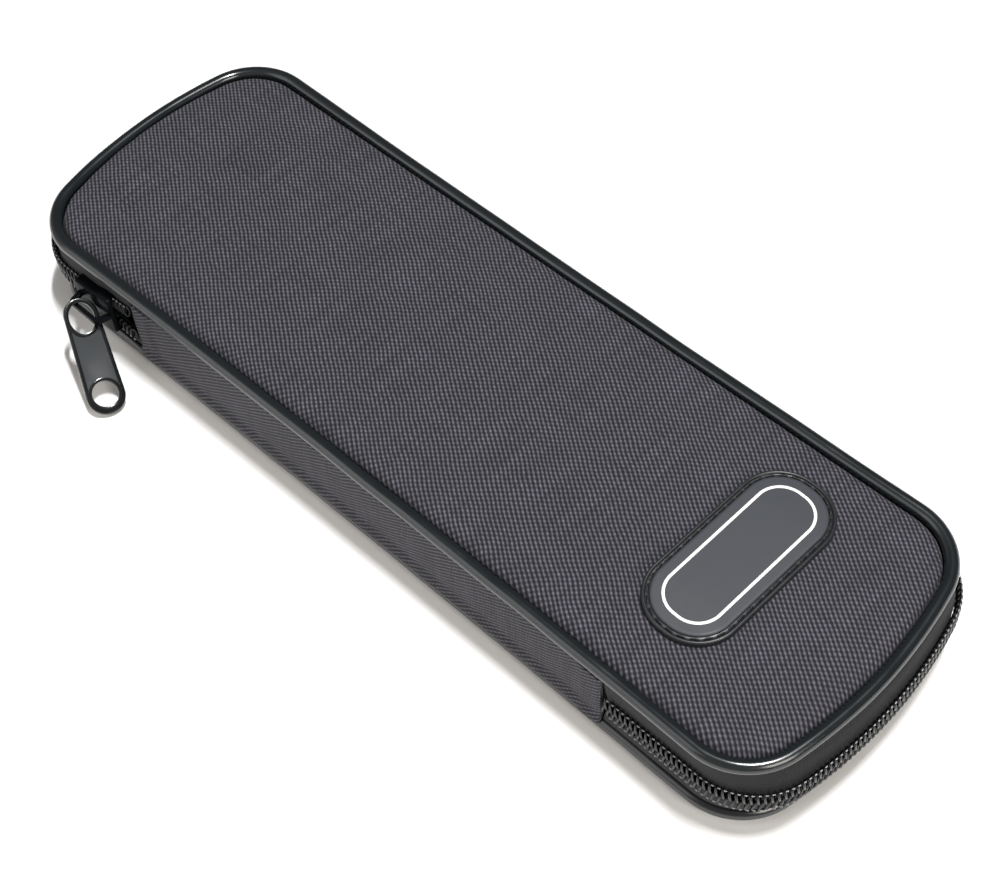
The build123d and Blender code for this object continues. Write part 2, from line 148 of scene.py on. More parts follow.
def outline_spot(distance):
    """Place and outward normal at a distance along the outline."""
    distance %= OUTLINE_LENGTH
    low, high = 0, len(DENSE)
    while high - low > 1:
        middle = (low + high) // 2
        low, high = (middle, high) if DENSE_LENGTH[middle] <= distance else (low, middle)
    share = (distance - DENSE_LENGTH[low]) / (DENSE_LENGTH[low + 1] - DENSE_LENGTH[low])
    place, normal = DENSE[low]
    next_place, next_normal = DENSE[(low + 1) % len(DENSE)]
    return place.lerp(next_place, share), normal.lerp(next_normal, share).normalized()


def outline_distance(x):
    """Distance along the outline at which the spine side reaches x."""
    spots = [i for i in range(len(DENSE)) if DENSE[i][0].y < -HALF_WIDTH / 2]
    return DENSE_LENGTH[min(spots, key=lambda i: abs(DENSE[i][0].x - x))]


print(f"outline length {OUTLINE_LENGTH / MM:.1f} mm")

# %% [markdown]
# ## Mesh helpers
# Nearly every piece is a stack of rings: a profile carried round the outline, or the outline drawn in
# step by step towards the middle. A modifier could sweep such shapes, but quads between rings put each
# corner where it is wanted. A second helper gives a finished mesh its UV map in millimetres, which the
# cloth materials read, so that a weave keeps its real scale on flat and upright pieces alike.


# %% Helpers for meshes
def mesh_object(name, points, faces):
    mesh = bpy.data.meshes.new(name)
    mesh.from_pydata(points, [], faces)
    mesh.update()
    obj = bpy.data.objects.new(name, mesh)
    bpy.context.scene.collection.objects.link(obj)
    return obj


def join_rings(name, rings, loop_ring=True, loop_stack=False, caps=False):
    """Quads between rings of equal length."""
    size = len(rings[0])
    points = [point for ring in rings for point in ring]
    faces = []
    last = len(rings) if loop_stack else len(rings) - 1
    for row in range(last):
        a, b = row * size, (row + 1) % len(rings) * size
        for i in range(size if loop_ring else size - 1):
            j = (i + 1) % size
            faces.append((a + i, a + j, b + j, b + i))
    if caps:
        faces.append(tuple(reversed(range(size))))
        faces.append(tuple(range((len(rings) - 1) * size, len(rings) * size)))
    return mesh_object(name, points, faces)


def clean(obj, merge=0.01 * MM, smooth_angle=40):
    """Merges doubles, turns the faces outwards and sets smooth shading up to an angle."""
    work = bmesh.new()
    work.from_mesh(obj.data)
    bmesh.ops.remove_doubles(work, verts=work.verts, dist=merge)
    bmesh.ops.dissolve_degenerate(work, edges=work.edges, dist=merge / 10)
    bmesh.ops.recalc_face_normals(work, faces=work.faces)
    work.to_mesh(obj.data)
    work.free()
    obj.data.polygons.foreach_set("use_smooth", [True] * len(obj.data.polygons))
    obj.data.set_sharp_from_angle(angle=math.radians(smooth_angle))
    return obj


def map_uv(obj, place):
    """Writes a UV map; place turns a vertex position into millimetres across the cloth."""
    layer = obj.data.uv_layers.new(name="Cloth")
    for loop in obj.data.loops:
        u, v = place(obj.data.vertices[loop.vertex_index].co)
        layer.data[loop.index].uv = (u / MM, v / MM)
    return obj


def finish_piece(obj, body, material, slot, *nodes):
    """Gives a piece its material and its body, and hides the nodes it stands for."""
    obj.data.materials.clear()
    obj.data.materials.append(material)
    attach(obj, body)
    if nodes:
        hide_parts(*nodes)
    print(f"{obj.name}: {len(obj.data.polygons)} faces on {body}")
    return obj


# %% [markdown]
# ## Material helpers
# A finish is a small graph of nodes. It could be put together by hand, but helpers that add, wire and
# set a node in one line make each recipe read as the list of what the finish is made of. Numbers and
# colours are set on a node's inputs, and other nodes' sockets are wired to them.


# %% Helpers for nodes
def add(tree, kind, inputs=None, **settings):
    """Adds a node with its settings; inputs are set or wired, by name or by index."""
    node = tree.nodes.new(kind)
    for key, value in settings.items():
        setattr(node, key, value)
    for key, value in (inputs or {}).items():
        if isinstance(value, bpy.types.NodeSocket):
            tree.links.new(value, node.inputs[key])
        else:
            node.inputs[key].default_value = value
    return node


def calc(tree, operation, a, b=0.0):
    """One Math node's result."""
    return add(tree, "ShaderNodeMath", {0: a, 1: b}, operation=operation).outputs[0]


def vector(tree, operation, a, b):
    """One Vector Math node's result."""
    return add(tree, "ShaderNodeVectorMath", {0: a, 1: b}, operation=operation).outputs[0]


def mix_colors(tree, factor, a, b, blend="MIX"):
    """One Mix node's colour; its colour inputs have the indexes 6 and 7."""
    inputs = {0: factor, 6: a, 7: b}
    return add(tree, "ShaderNodeMix", inputs, data_type="RGBA", blend_type=blend).outputs[2]


# %% Helpers for groups and materials
def new_group(name, inputs, outputs):
    """A shader node group with named sockets; returns it with its input and output nodes."""
    group = bpy.data.node_groups.new(name, "ShaderNodeTree")
    for label, kind, value in inputs:
        socket = group.interface.new_socket(label, in_out="INPUT", socket_type=kind)
        if value is not None:
            socket.default_value = value
    for label, kind in outputs:
        group.interface.new_socket(label, in_out="OUTPUT", socket_type=kind)
    return group, group.nodes.new("NodeGroupInput"), group.nodes.new("NodeGroupOutput")


def use_group(tree, group, inputs):
    """Places a group in a material with values of its own."""
    return add(tree, "ShaderNodeGroup", inputs, node_tree=group)


def new_material(name, plain):
    """A material whose Principled surface has the given plain values."""
    material = bpy.data.materials.new(name)
    material.use_nodes = True
    surface = material.node_tree.nodes["Principled BSDF"]
    for key, value in plain.items():
        surface.inputs[key].default_value = value
    return material, material.node_tree, surface


FLOAT, VECTOR, COLOR = "NodeSocketFloat", "NodeSocketVector", "NodeSocketColor"
print("node helpers ready")

# %% [markdown]
# ## The plain weave
# The cover is a coarse polyester: thick single yarns that pass over and under each other. A picture of
# cloth would do from afar, but a rule has no seams and keeps its scale. Two waves make it, one across
# each set of yarns, and their product is a chequer of round bumps. On this cloth the yarns lie a little
# askew and the bumps join up along one diagonal, so it looks ribbed that way. Each yarn also has its
# own shade and its own slubs, which are noises drawn out along it.

# %% Weave group
YARN_BEND = 1.1  # how far the yarns wander, in millimetres
SLUBS = ((0.06, 1.6, 1.0), (1.3, 0.05, 1.0), (2.3, 2.3, 1.0))  # noise drawn out each way


def yarn_height(group, given, moved):
    """Height of the cloth from 0 to 1: a chequer of bumps mixed with diagonal ridges."""
    parts = add(group, "ShaderNodeSeparateXYZ", {0: moved})
    across, up = parts.outputs[0], parts.outputs[1]
    turns_x = calc(group, "MULTIPLY", given.outputs["Yarns per mm crosswise"], math.pi)
    turns_y = calc(group, "MULTIPLY", given.outputs["Yarns per mm lengthwise"], math.pi)
    lean = calc(group, "MULTIPLY", calc(group, "MULTIPLY", given.outputs["Skew"], math.pi), up)
    phase_x = calc(group, "ADD", calc(group, "MULTIPLY", across, turns_x), lean)
    phase_y = calc(group, "MULTIPLY", up, turns_y)
    bump = calc(group, "MULTIPLY", calc(group, "SINE", phase_x), calc(group, "SINE", phase_y))
    ridge = calc(group, "MULTIPLY", calc(group, "COSINE", calc(group, "ADD", phase_x, phase_y)), -1.0)
    both = {"Factor": given.outputs["Diagonal"], "A": bump, "B": ridge}
    wave = add(group, "ShaderNodeMix", both).outputs[0]
    return calc(group, "ADD", calc(group, "MULTIPLY", wave, 0.5), 0.5)


def weave_group():
    group, given, result = new_group(
        "Plain weave",
        [
            ("Vector", VECTOR, None),
            ("Yarns per mm lengthwise", FLOAT, 1.69),
            ("Yarns per mm crosswise", FLOAT, 1.316),
            ("Skew", FLOAT, 0.15),
            ("Diagonal", FLOAT, 0.45),
            ("Raised yarn", COLOR, (0.1, 0.1, 0.1, 1)),
            ("Low yarn with painted shade", COLOR, (0.02, 0.02, 0.02, 1)),
        ],
        [("Color", COLOR), ("Height", FLOAT)],
    )
    bend = add(group, "ShaderNodeTexNoise", {"Vector": given.outputs["Vector"], "Scale": 0.09})
    bent = vector(group, "MULTIPLY", bend.outputs["Color"], (YARN_BEND, YARN_BEND, 0.0))
    moved = vector(group, "ADD", given.outputs["Vector"], bent)
    height = yarn_height(group, given, moved)
    shade = 1.0
    for stretch in SLUBS:
        drawn = vector(group, "MULTIPLY", moved, stretch)
        noisy = add(group, "ShaderNodeTexNoise", {"Vector": drawn, "Scale": 1.0, "Detail": 2.0})
        shade = calc(group, "MULTIPLY", shade, calc(group, "ADD", noisy.outputs["Fac"], 0.5))
    # From here the colour follows the height: low parts take the dark low-yarn colour, painted shade in
    # the hollows between the yarns.
    show = add(group, "ShaderNodeMapRange", {"Value": height, "From Min": 0.12, "From Max": 0.92})
    painted_weave_shading = calc(group, "MULTIPLY", show.outputs[0], show.outputs[0])
    mixed = mix_colors(group, painted_weave_shading, given.outputs["Low yarn with painted shade"], given.outputs["Raised yarn"])
    group.links.new(mix_colors(group, 1.0, mixed, shade, "MULTIPLY"), result.inputs["Color"])
    group.links.new(height, result.inputs["Height"])
    return group


WEAVE = weave_group()
print("weave group made")

# %% [markdown]
# ## Grain
# Moulded vinyl, rubber and enamel all have a faint unevenness: a soft mottle in how glossy they are and
# a very shallow grain. Each material could have its own noises. One group gives both to all of them, as
# a value and as a height, so that the finishes stay related.


# %% Grain group
def grain_group():
    group, given, result = new_group(
        "Grain",
        [("Vector", VECTOR, None), ("Scale", FLOAT, 400.0), ("Low", FLOAT, 0.3), ("High", FLOAT, 0.5)],
        [("Value", FLOAT), ("Height", FLOAT)],
    )
    fine = add(
        group,
        "ShaderNodeTexNoise",
        {"Vector": given.outputs["Vector"], "Scale": given.outputs["Scale"], "Detail": 4.0},
    )
    wide_scale = calc(group, "MULTIPLY", given.outputs["Scale"], 0.12)
    wide = add(
        group,
        "ShaderNodeTexNoise",
        {"Vector": given.outputs["Vector"], "Scale": wide_scale, "Detail": 2.0},
    )
    value = add(
        group,
        "ShaderNodeMapRange",
        {
            "Value": wide.outputs["Fac"],
            "From Min": 0.3,
            "From Max": 0.7,
            "To Min": given.outputs["Low"],
            "To Max": given.outputs["High"],
        },
    )
    group.links.new(value.outputs[0], result.inputs["Value"])
    group.links.new(fine.outputs["Fac"], result.inputs["Height"])
    return group


GRAIN = grain_group()
print("grain group made")


# %% [markdown]
# ## Woven materials
# The cover, the lining and the binding are woven cloth: dull, with a little sheen from the fibres that
# stand out. Real threads could be modelled, but there are far too many. The weave group colours the
# yarns, much darker where they lie low, which is painted shade in the hollows of the weave, and its
# height feeds a Bump node. The cover is charcoal with a breath of violet, and the other two are finer
# and flatter.


# %% Woven cloth
def woven(name, raised, low, depth, finer=1.0, diagonal=0.45, roughness=0.8, sheen=0.12):
    """Colours of raised and low yarns, the low one darker as painted shade, relief in millimetres, and
    how much finer the yarns are.
    """
    material, tree, surface = new_material(
        name,
        {
            "Roughness": roughness,
            "Sheen Weight": sheen,
            "Sheen Roughness": 0.5,
            "Specular IOR Level": 0.25,
        },
    )
    cloth = add(tree, "ShaderNodeUVMap", uv_map="Cloth")
    scaled = vector(tree, "MULTIPLY", cloth.outputs[0], (finer, finer, 1.0))
    colors = {"Raised yarn": (*raised, 1), "Low yarn with painted shade": (*low, 1)}
    weave = use_group(tree, WEAVE, {"Vector": scaled, "Diagonal": diagonal, **colors})
    relief = {"Strength": 1.0, "Distance": depth * MM, "Height": weave.outputs["Height"]}
    bump = add(tree, "ShaderNodeBump", relief)
    tree.links.new(weave.outputs["Color"], surface.inputs["Base Color"])
    tree.links.new(bump.outputs[0], surface.inputs["Normal"])
    return material


# The low yarn colours lie far below the raised ones: painted shade in the hollows of each weave.
COVER_CLOTH = woven(
    "cover cloth", (0.102, 0.098, 0.122), (0.0085, 0.0087, 0.012), 0.1, diagonal=0.4, sheen=0.06
)
LINING_CLOTH = woven(
    "lining cloth", (0.034, 0.034, 0.037), (0.012, 0.012, 0.014), 0.05, 1.6, 0.2, 0.95, 0.4
)
BINDING_CLOTH = woven(
    "binding tape", (0.026, 0.026, 0.03), (0.009, 0.009, 0.011), 0.05, 1.4, 0.2
)
print("woven cloths made")

# %% [markdown]
# ## Ribbed materials
# Zipper tape and flat elastic are narrow weaves with ribs. Modelled ribs would be too fine to see, so a
# wave that never goes below zero makes rounded ribs with sharp grooves, and a weaker wave across them
# stands for the single threads. The grooves are coloured darker than the ribs, as painted shade.

# %% Ribbed cloth
CROSS_THREAD = 0.35  # width of a thread that runs across the ribs, in millimetres


def ribbed(name, spacing, ridge, groove, depth):
    """Rib spacing and relief in millimetres, the colour of the ribs, and the darker colour of the
    grooves, which is painted shade.
    """
    material, tree, surface = new_material(
        name, {"Roughness": 0.8, "Sheen Weight": 0.05, "Specular IOR Level": 0.2}
    )
    cloth = add(tree, "ShaderNodeUVMap", uv_map="Cloth")
    parts = add(tree, "ShaderNodeSeparateXYZ", {0: cloth.outputs[0]})
    phase = calc(tree, "MULTIPLY", parts.outputs[1], math.pi / spacing)
    rib = calc(tree, "ABSOLUTE", calc(tree, "SINE", phase))
    cross = calc(tree, "SINE", calc(tree, "MULTIPLY", parts.outputs[0], math.pi / CROSS_THREAD))
    height = calc(tree, "ADD", rib, calc(tree, "MULTIPLY", cross, 0.18))
    # The colour darkens from rib to groove: painted shade in the grooves.
    ribs_with_painted_shade = mix_colors(tree, rib, (*groove, 1), (*ridge, 1))
    bump = add(tree, "ShaderNodeBump", {"Strength": 1.0, "Distance": depth * MM, "Height": height})
    tree.links.new(ribs_with_painted_shade, surface.inputs["Base Color"])
    tree.links.new(bump.outputs[0], surface.inputs["Normal"])
    return material


TAPE_CLOTH = ribbed("zipper tape", 0.55, (0.024, 0.025, 0.028), (0.014, 0.0145, 0.017), 0.05)
ELASTIC_CLOTH = ribbed("ribbed elastic", 1.1, (0.034, 0.034, 0.038), (0.008, 0.008, 0.01), 0.2)
print("ribbed cloths made")

# %% [markdown]
# ## Moulded and painted materials
# The piping is soft black vinyl with a slight green-blue cast, the zipper coil a satin monofilament,
# the slider and its pull black enamel, and the badge satin rubber. The stiffener is pressed fibre board
# and the filling black foam. Each could be a graph of its own. They differ only in colour, in gloss and
# in grain, so one recipe with six numbers makes them all.


# %% Moulded materials
def moulded(name, color, low, high, scale, depth, specular=0.5):
    """Colour, lowest and highest roughness, grains per metre, grain depth in mm, and mirroring."""
    plain = {"Base Color": (*color, 1), "Specular IOR Level": specular}
    material, tree, surface = new_material(name, plain)
    place = add(tree, "ShaderNodeTexCoord").outputs["Object"]
    grain = use_group(tree, GRAIN, {"Vector": place, "Scale": scale, "Low": low, "High": high})
    relief = {"Strength": 1.0, "Distance": depth * MM, "Height": grain.outputs["Height"]}
    bump = add(tree, "ShaderNodeBump", relief)
    tree.links.new(grain.outputs["Value"], surface.inputs["Roughness"])
    tree.links.new(bump.outputs[0], surface.inputs["Normal"])
    return material


VINYL = moulded("piping vinyl", (0.006, 0.009, 0.011), 0.16, 0.26, 900.0, 0.004, 0.7)
COIL_NYLON = moulded("coil monofilament", (0.005, 0.0055, 0.007), 0.2, 0.3, 1800.0, 0.003, 0.3)
ENAMEL = moulded("black enamel", (0.005, 0.006, 0.007), 0.1, 0.16, 1200.0, 0.002)
CAST_ENAMEL = moulded("cast enamel", (0.004, 0.005, 0.006), 0.14, 0.22, 1500.0, 0.006, 0.02)
SATIN_ENAMEL = moulded("satin enamel", (0.02, 0.024, 0.028), 0.5, 0.58, 2000.0, 0.004, 0.3)
RUBBER = moulded("badge rubber", (0.036, 0.04, 0.048), 0.46, 0.54, 2600.0, 0.008, 0.35)
# Darker and glossier than the field's rubber; the darker colour is painted shade for the sewing groove
# and the outer wall, laid over the rim's top as well.
RIM_RUBBER_PAINTED_SHADE = moulded("badge rim with painted shade", (0.014, 0.016, 0.019), 0.3, 0.4, 2600.0, 0.008, 0.4)
PRINT = moulded("badge line print", (0.8, 0.8, 0.81), 0.4, 0.5, 2600.0, 0.004)
BOARD = moulded("fibre board", (0.2, 0.17, 0.13), 0.75, 0.9, 700.0, 0.05)
FOAM = moulded("black foam", (0.014, 0.014, 0.015), 0.85, 0.95, 1500.0, 0.12)
THREAD = moulded("black thread", (0.006, 0.006, 0.007), 0.5, 0.7, 3000.0, 0.02)
# Light grey and glossy, unlike the black thread: a painted glint standing for the highlights on the
# coil's bends.
COIL_THREAD_PAINTED_GLINT = moulded("thread with painted glint", (0.42, 0.43, 0.45), 0.25, 0.35, 3000.0, 0.01)
print("moulded materials made")

# %% [markdown]
# ## The two panels
# A panel is woven cloth drawn over foam and sewn down all round, so it is a low cushion: nearly flat,
# and rolled under at its edge where the seam pulls it in beside the piping. It could be blown up by a
# cloth simulation, but foam on a board hardly moves, so its height is a rule. Rings that follow the
# outline at growing depths make the edge, and further rings run from there to the case's middle line.
# The seam puckers the cloth a little at each stitch, and the foam is never quite even.

# %% Height of a panel
PANEL_INSET = PIPING_RADIUS + 0.25 * MM
ROLL = 0.9 * MM  # how soon the rolled edge levels out
BASE_SEAM_PULL, LID_SEAM_PULL = 0.55, 0.6  # how deep the seam pulls it, as shares of the rise
PUCKER = 0.05 * MM
PUCKER_WAVE = 1.25 * MM
PUCKER_REACH = 1.4 * MM
FLAT_FROM = 3 * MM  # the base has no puckers deeper in than this
UNEVEN = 0.16 * MM
LUMPS = 45  # lumps of the foam per metre
SETTLE = 6 * MM  # the foam's lumps show fully from this depth


def crown(x, y):
    """Height of the lid's cover above its seam plane, before its edge rolls under."""
    return PANEL_RISE - x * x / (2 * CROWN_ALONG) - y * y / (2 * CROWN_ACROSS)


def panel_height(place, depth, distance, seam, flat):
    """Height beyond the seam plane, at a depth in from the edge and a distance along it."""
    pull = (BASE_SEAM_PULL if flat else LID_SEAM_PULL) * PANEL_RISE * math.exp(-depth / ROLL)
    pucker = PUCKER * math.sin(distance / PUCKER_WAVE) * math.exp(-depth / PUCKER_REACH)
    if flat:
        return PANEL_RISE - pull + (0 if depth > FLAT_FROM else pucker)
    soft = noise.noise(Vector((place.x, place.y, seam)) * LUMPS) * UNEVEN
    return crown(place.x, place.y) - pull + pucker + soft * min(1.0, depth / SETTLE)


print(f"lid crown falls {(PANEL_RISE - crown(0, HALF_WIDTH)) / MM:.1f} mm to its long edges")

# %% [markdown]
# The panel is closed on its underside, because padded cloth has its foam inside. Its rings are stacked
# from the middle of the underside, out round the edge, and back to the middle of the face.

# %% Panels
STATIONS = 600  # spots round the outline
EDGE_RINGS = [0.0, 0.12, 0.3, 0.6, 1.0, 1.5, 2.2, 3.1, 4.3, 5.8, 7.6]  # depths in mm
MIDDLE_STEPS = 14
MIDDLE_DEPTH = 20  # extra depth at the middle line, in mm
UNDERSIDE = [(0.0, -1.0), (0.7, -1.0), (0.75, -0.15)]  # depth and height in mm
FLOOR_HEIGHT = -0.15 * MM


def towards_middle(place, share):
    """A point on its way from the outline to the case's middle line."""
    reach = HALF_LENGTH - HALF_WIDTH * 0.6
    target = Vector((max(-reach, min(reach, place.x)), 0))
    return place.lerp(target, share)


def panel_face(spots, seam, facing, flat):
    """Rings of the outer face, from the edge to the middle line."""
    rings = []
    for depth_mm in EDGE_RINGS:
        ring = []
        for i, (place, normal) in enumerate(spots):
            spot = place - normal * (PANEL_INSET + depth_mm * MM)
            height = panel_height(spot, depth_mm * MM, i * OUTLINE_LENGTH / STATIONS, seam, flat)
            ring.append(Vector((*spot, seam + facing * height)))
        rings.append(ring)
    edge = [point.xy for point in rings[-1]]
    for step in range(1, MIDDLE_STEPS + 1):
        share = step / MIDDLE_STEPS
        ring = []
        for spot in edge:
            moved = towards_middle(spot, share)
            depth = (EDGE_RINGS[-1] + MIDDLE_DEPTH * share) * MM
            ring.append(Vector((*moved, seam + facing * panel_height(moved, depth, 0, seam, flat))))
        rings.append(ring)
    return rings


def panel(name, seam, facing, flat):
    """The padded panel of one half, closed; facing is 1 for the lid and -1 for the base."""
    spots = [outline_spot(i * OUTLINE_LENGTH / STATIONS) for i in range(STATIONS)]
    under = []
    for depth_mm, height in UNDERSIDE:
        inset = PANEL_INSET + depth_mm * MM
        under.append([Vector((*(p - n * inset), seam + facing * height * MM)) for p, n in spots])
    rim = [point.xy for point in under[-1]]
    for share in (0.5, 1.0):
        level = seam + facing * FLOOR_HEIGHT
        under.append([Vector((*towards_middle(point, share), level)) for point in rim])
    obj = join_rings(name, under[::-1] + panel_face(spots, seam, facing, flat))
    clean(obj, merge=0.02 * MM)
    return map_uv(obj, lambda co: (co.x, co.y))


lid_panel = panel("lid_panel", LID_SEAM, 1, flat=False)
finish_piece(lid_panel, "lid", COVER_CLOTH, "woven_cover", "lid_cover", "lid_foam")
base_panel = panel("base_panel", BASE_SEAM, -1, flat=True)
finish_piece(base_panel, "base", COVER_CLOTH, "woven_cover", "base_cover", "base_foam")

# %% [markdown]
# ## The piping
# The piping is a vinyl cord with a sewing flange that edges both panels. A bevelled curve gives a cord
# but no flange, so one profile is carried all the way round: a circle whose underside runs out into a
# thin strip. Hand-guided under a sewing foot it is never perfectly even, and the line wanders by about a
# tenth of a millimetre.

# %% Piping
FLANGE_OUTER = -0.35 * MM
FLANGE_INNER = -0.8 * MM
FLANGE_END = -4.0 * MM
BEAD_SIDES = 20
WANDER = 0.12 * MM


def piping_profile():
    """Points round the bead and down its flange, as (outwards, upwards)."""
    start = math.atan2(-math.sqrt(PIPING_RADIUS**2 - FLANGE_OUTER**2), FLANGE_OUTER)
    end = math.atan2(-math.sqrt(PIPING_RADIUS**2 - FLANGE_INNER**2), FLANGE_INNER) + 2 * math.pi
    points = []
    for i in range(BEAD_SIDES + 1):
        angle = start + (end - start) * i / BEAD_SIDES
        points.append((PIPING_RADIUS * math.cos(angle), PIPING_RADIUS * math.sin(angle)))
    return points + [(FLANGE_INNER, FLANGE_END), (FLANGE_OUTER, FLANGE_END)]


def piping(name, seam, facing):
    rings = []
    for i in range(STATIONS):
        place, normal = outline_spot(i * OUTLINE_LENGTH / STATIONS)
        drift = noise.noise(Vector((place.x, place.y, seam)) * 70) * WANDER
        rise = noise.noise(Vector((place.y, place.x, seam + 1)) * 60) * WANDER
        ring = []
        for out, up in piping_profile():
            spot = place + normal * (out + drift)
            ring.append(Vector((spot.x, spot.y, seam + facing * (up + rise))))
        rings.append(ring)
    return clean(join_rings(name, rings, loop_stack=True), smooth_angle=60)


finish_piece(piping("lid_piping_cord", LID_SEAM, 1), "lid", VINYL, "vinyl_piping", "lid_piping")
finish_piece(piping("base_piping_cord", BASE_SEAM, -1), "base", VINYL, "vinyl_piping", "base_piping")

# %% [markdown]
# ## The zipper wall
# Both zipper halves follow one upright wall. Round the ends of the case the closed chain is pushed
# outwards, and between the slider and the spine the two rows part. Each piece could bend for itself,
# but then they wouldn't stay together, so one function gives the wall's points and another the parting.

# %% The wall that both zipper halves follow
TAPE_SEAM = (LID_SEAM - BASE_SEAM) / 2 - PIPING_RADIUS - 0.2 * MM
TAPE_EDGE = 0.9 * MM
TAPE_THICKNESS = 0.6 * MM
END_BULGE = 2.0 * MM
CHAIN_GAP = 0.4 * MM  # between the chain's ends and the spine
CHAIN_START = outline_distance(SPINE_END + CHAIN_GAP)
CHAIN_END = outline_distance(SPINE_START - CHAIN_GAP)
SLIDER_X = (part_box("zip_slider")[0][0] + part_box("zip_slider")[1][0]) / 2
PARTING = 2.6 * MM
PARTING_START = SLIDER_X - 4 * MM


def ease(value):
    """Goes smoothly from 0 to 1 as the value does, and stays there."""
    value = max(0.0, min(1.0, value))
    return value * value * (3 - 2 * value)


def parting(x, y):
    """How far each row lies from the middle, past what it has when closed."""
    if y > 0 or x > SPINE_START + 1 * MM or x < PARTING_START:
        return 0.0
    return PARTING * ease((x - PARTING_START) / (SPINE_START - PARTING_START))


def wall_point(distance, up, out):
    """A point of the zipper wall: up from the middle, out from the outline."""
    place, normal = outline_spot(distance)
    level = 1 - min(1.0, max(0.0, (abs(up) - TAPE_EDGE) / (TAPE_SEAM - TAPE_EDGE)))
    spread = 1 + END_BULGE / HALF_LENGTH * level
    return Vector((place.x * spread + normal.x * out, place.y + normal.y * out, MIDDLE + up))


print(f"zipper chain {(CHAIN_END - CHAIN_START) / MM:.0f} mm")

# %% [markdown]
# ## The zipper tapes
# Each tape is a ribbed strip that makes the wall of its half, sewn in under the piping and ending just
# short of the middle, where the coil stands on its edge. A flat strip with some thickness could be bent
# round the case, but its belly and its slight waves are quicker to give as rings across it.

# %% Tapes
TAPE_STEP = 1.2 * MM
TAPE_ROWS = 7
TAPE_BELLY = 0.2 * MM
TAPE_WAVES = 0.08 * MM


def zipper_tape(name, side):
    """side is 1 for the upper tape and -1 for the lower one."""
    steps = round((CHAIN_END - CHAIN_START) / TAPE_STEP)
    rings = []
    for i in range(steps + 1):
        distance = CHAIN_START + (CHAIN_END - CHAIN_START) * i / steps
        place, _ = outline_spot(distance)
        edge = TAPE_EDGE + parting(place.x, place.y)
        outer, inner = [], []
        for row in range(TAPE_ROWS + 1):
            share = row / TAPE_ROWS
            up = edge + (TAPE_SEAM - edge) * share
            wave = noise.noise(Vector((distance * 60, up * 90, side))) * TAPE_WAVES
            out = TAPE_BELLY * math.sin(math.pi * share) + wave
            outer.append(wall_point(distance, side * up, out + TAPE_THICKNESS / 2))
            inner.append(wall_point(distance, side * up, out - TAPE_THICKNESS / 2))
        rings.append(outer + inner[::-1])
    obj = clean(join_rings(name, rings, caps=True), smooth_angle=50)
    return map_uv(obj, lambda co: (co.x + co.y, co.z))


lid_tape = zipper_tape("lid_tape", 1)
finish_piece(lid_tape, "lid", TAPE_CLOTH, "zipper_tape", "lid_zip_tape")
base_tape = zipper_tape("base_tape", -1)
finish_piece(base_tape, "base", TAPE_CLOTH, "zipper_tape", "base_zip_tape")

# %% [markdown]
# ## Repeats along a path
# Coil loops and stitches are the same small thing set down again and again along a line. An Array with
# a Curve modifier would bend each item, and copies made in a loop are slow. A Geometry Nodes tree
# resamples the path at an even spacing, puts the item on each point, turns it to the path's heading,
# and makes the result real with its material set. The item, the spacing, the unevenness and its seed
# are named inputs of the tree.

# %% Geometry Nodes tree for repeats
GEOMETRY = "NodeSocketGeometry"
REPEAT_INPUTS = (
    ("Geometry", GEOMETRY),
    ("Item", "NodeSocketObject"),
    ("Spacing", FLOAT),
    ("Unevenness", FLOAT),
    ("Seed", "NodeSocketInt"),
    ("Material", "NodeSocketMaterial"),
)


def repeat_tree():
    tree = bpy.data.node_groups.new("Repeat along path", "GeometryNodeTree")
    for label, kind in REPEAT_INPUTS:
        tree.interface.new_socket(label, in_out="INPUT", socket_type=kind)
    tree.interface.new_socket("Geometry", in_out="OUTPUT", socket_type=GEOMETRY)
    given = tree.nodes.new("NodeGroupInput").outputs
    line = add(tree, "GeometryNodeMeshToCurve", {"Mesh": given["Geometry"]}).outputs[0]
    resample = {"Curve": line, "Length": given["Spacing"]}
    even = add(tree, "GeometryNodeResampleCurve", resample, mode="LENGTH").outputs[0]
    tangent = add(tree, "GeometryNodeInputTangent").outputs[0]
    heading = add(tree, "ShaderNodeSeparateXYZ", {0: tangent})
    angle = calc(tree, "ARCTAN2", heading.outputs[1], heading.outputs[0])
    turn = add(tree, "ShaderNodeCombineXYZ", {"Z": angle}).outputs[0]
    item = add(tree, "GeometryNodeObjectInfo", {"Object": given["Item"]}).outputs["Geometry"]
    least = calc(tree, "SUBTRACT", 1.0, given["Unevenness"])
    sizes = {"Min": least, "Max": 1.0, "Seed": given["Seed"]}
    size = add(tree, "FunctionNodeRandomValue", sizes, data_type="FLOAT").outputs[1]
    places = {"Points": even, "Instance": item, "Rotation": turn, "Scale": size}
    placed = add(tree, "GeometryNodeInstanceOnPoints", places).outputs[0]
    real = add(tree, "GeometryNodeRealizeInstances", {0: placed}).outputs[0]
    finish = {"Geometry": real, "Material": given["Material"]}
    painted = add(tree, "GeometryNodeSetMaterial", finish).outputs[0]
    add(tree, "NodeGroupOutput", {0: painted})
    return tree


REPEAT = repeat_tree()
print("repeat tree inputs:", [label for label, _ in REPEAT_INPUTS])

# %% [markdown]
# The tree works as a modifier on the path. Its result is kept as a plain mesh, because an exported
# model has no modifiers, and the path itself is thrown away. The item to repeat is often a small tube.


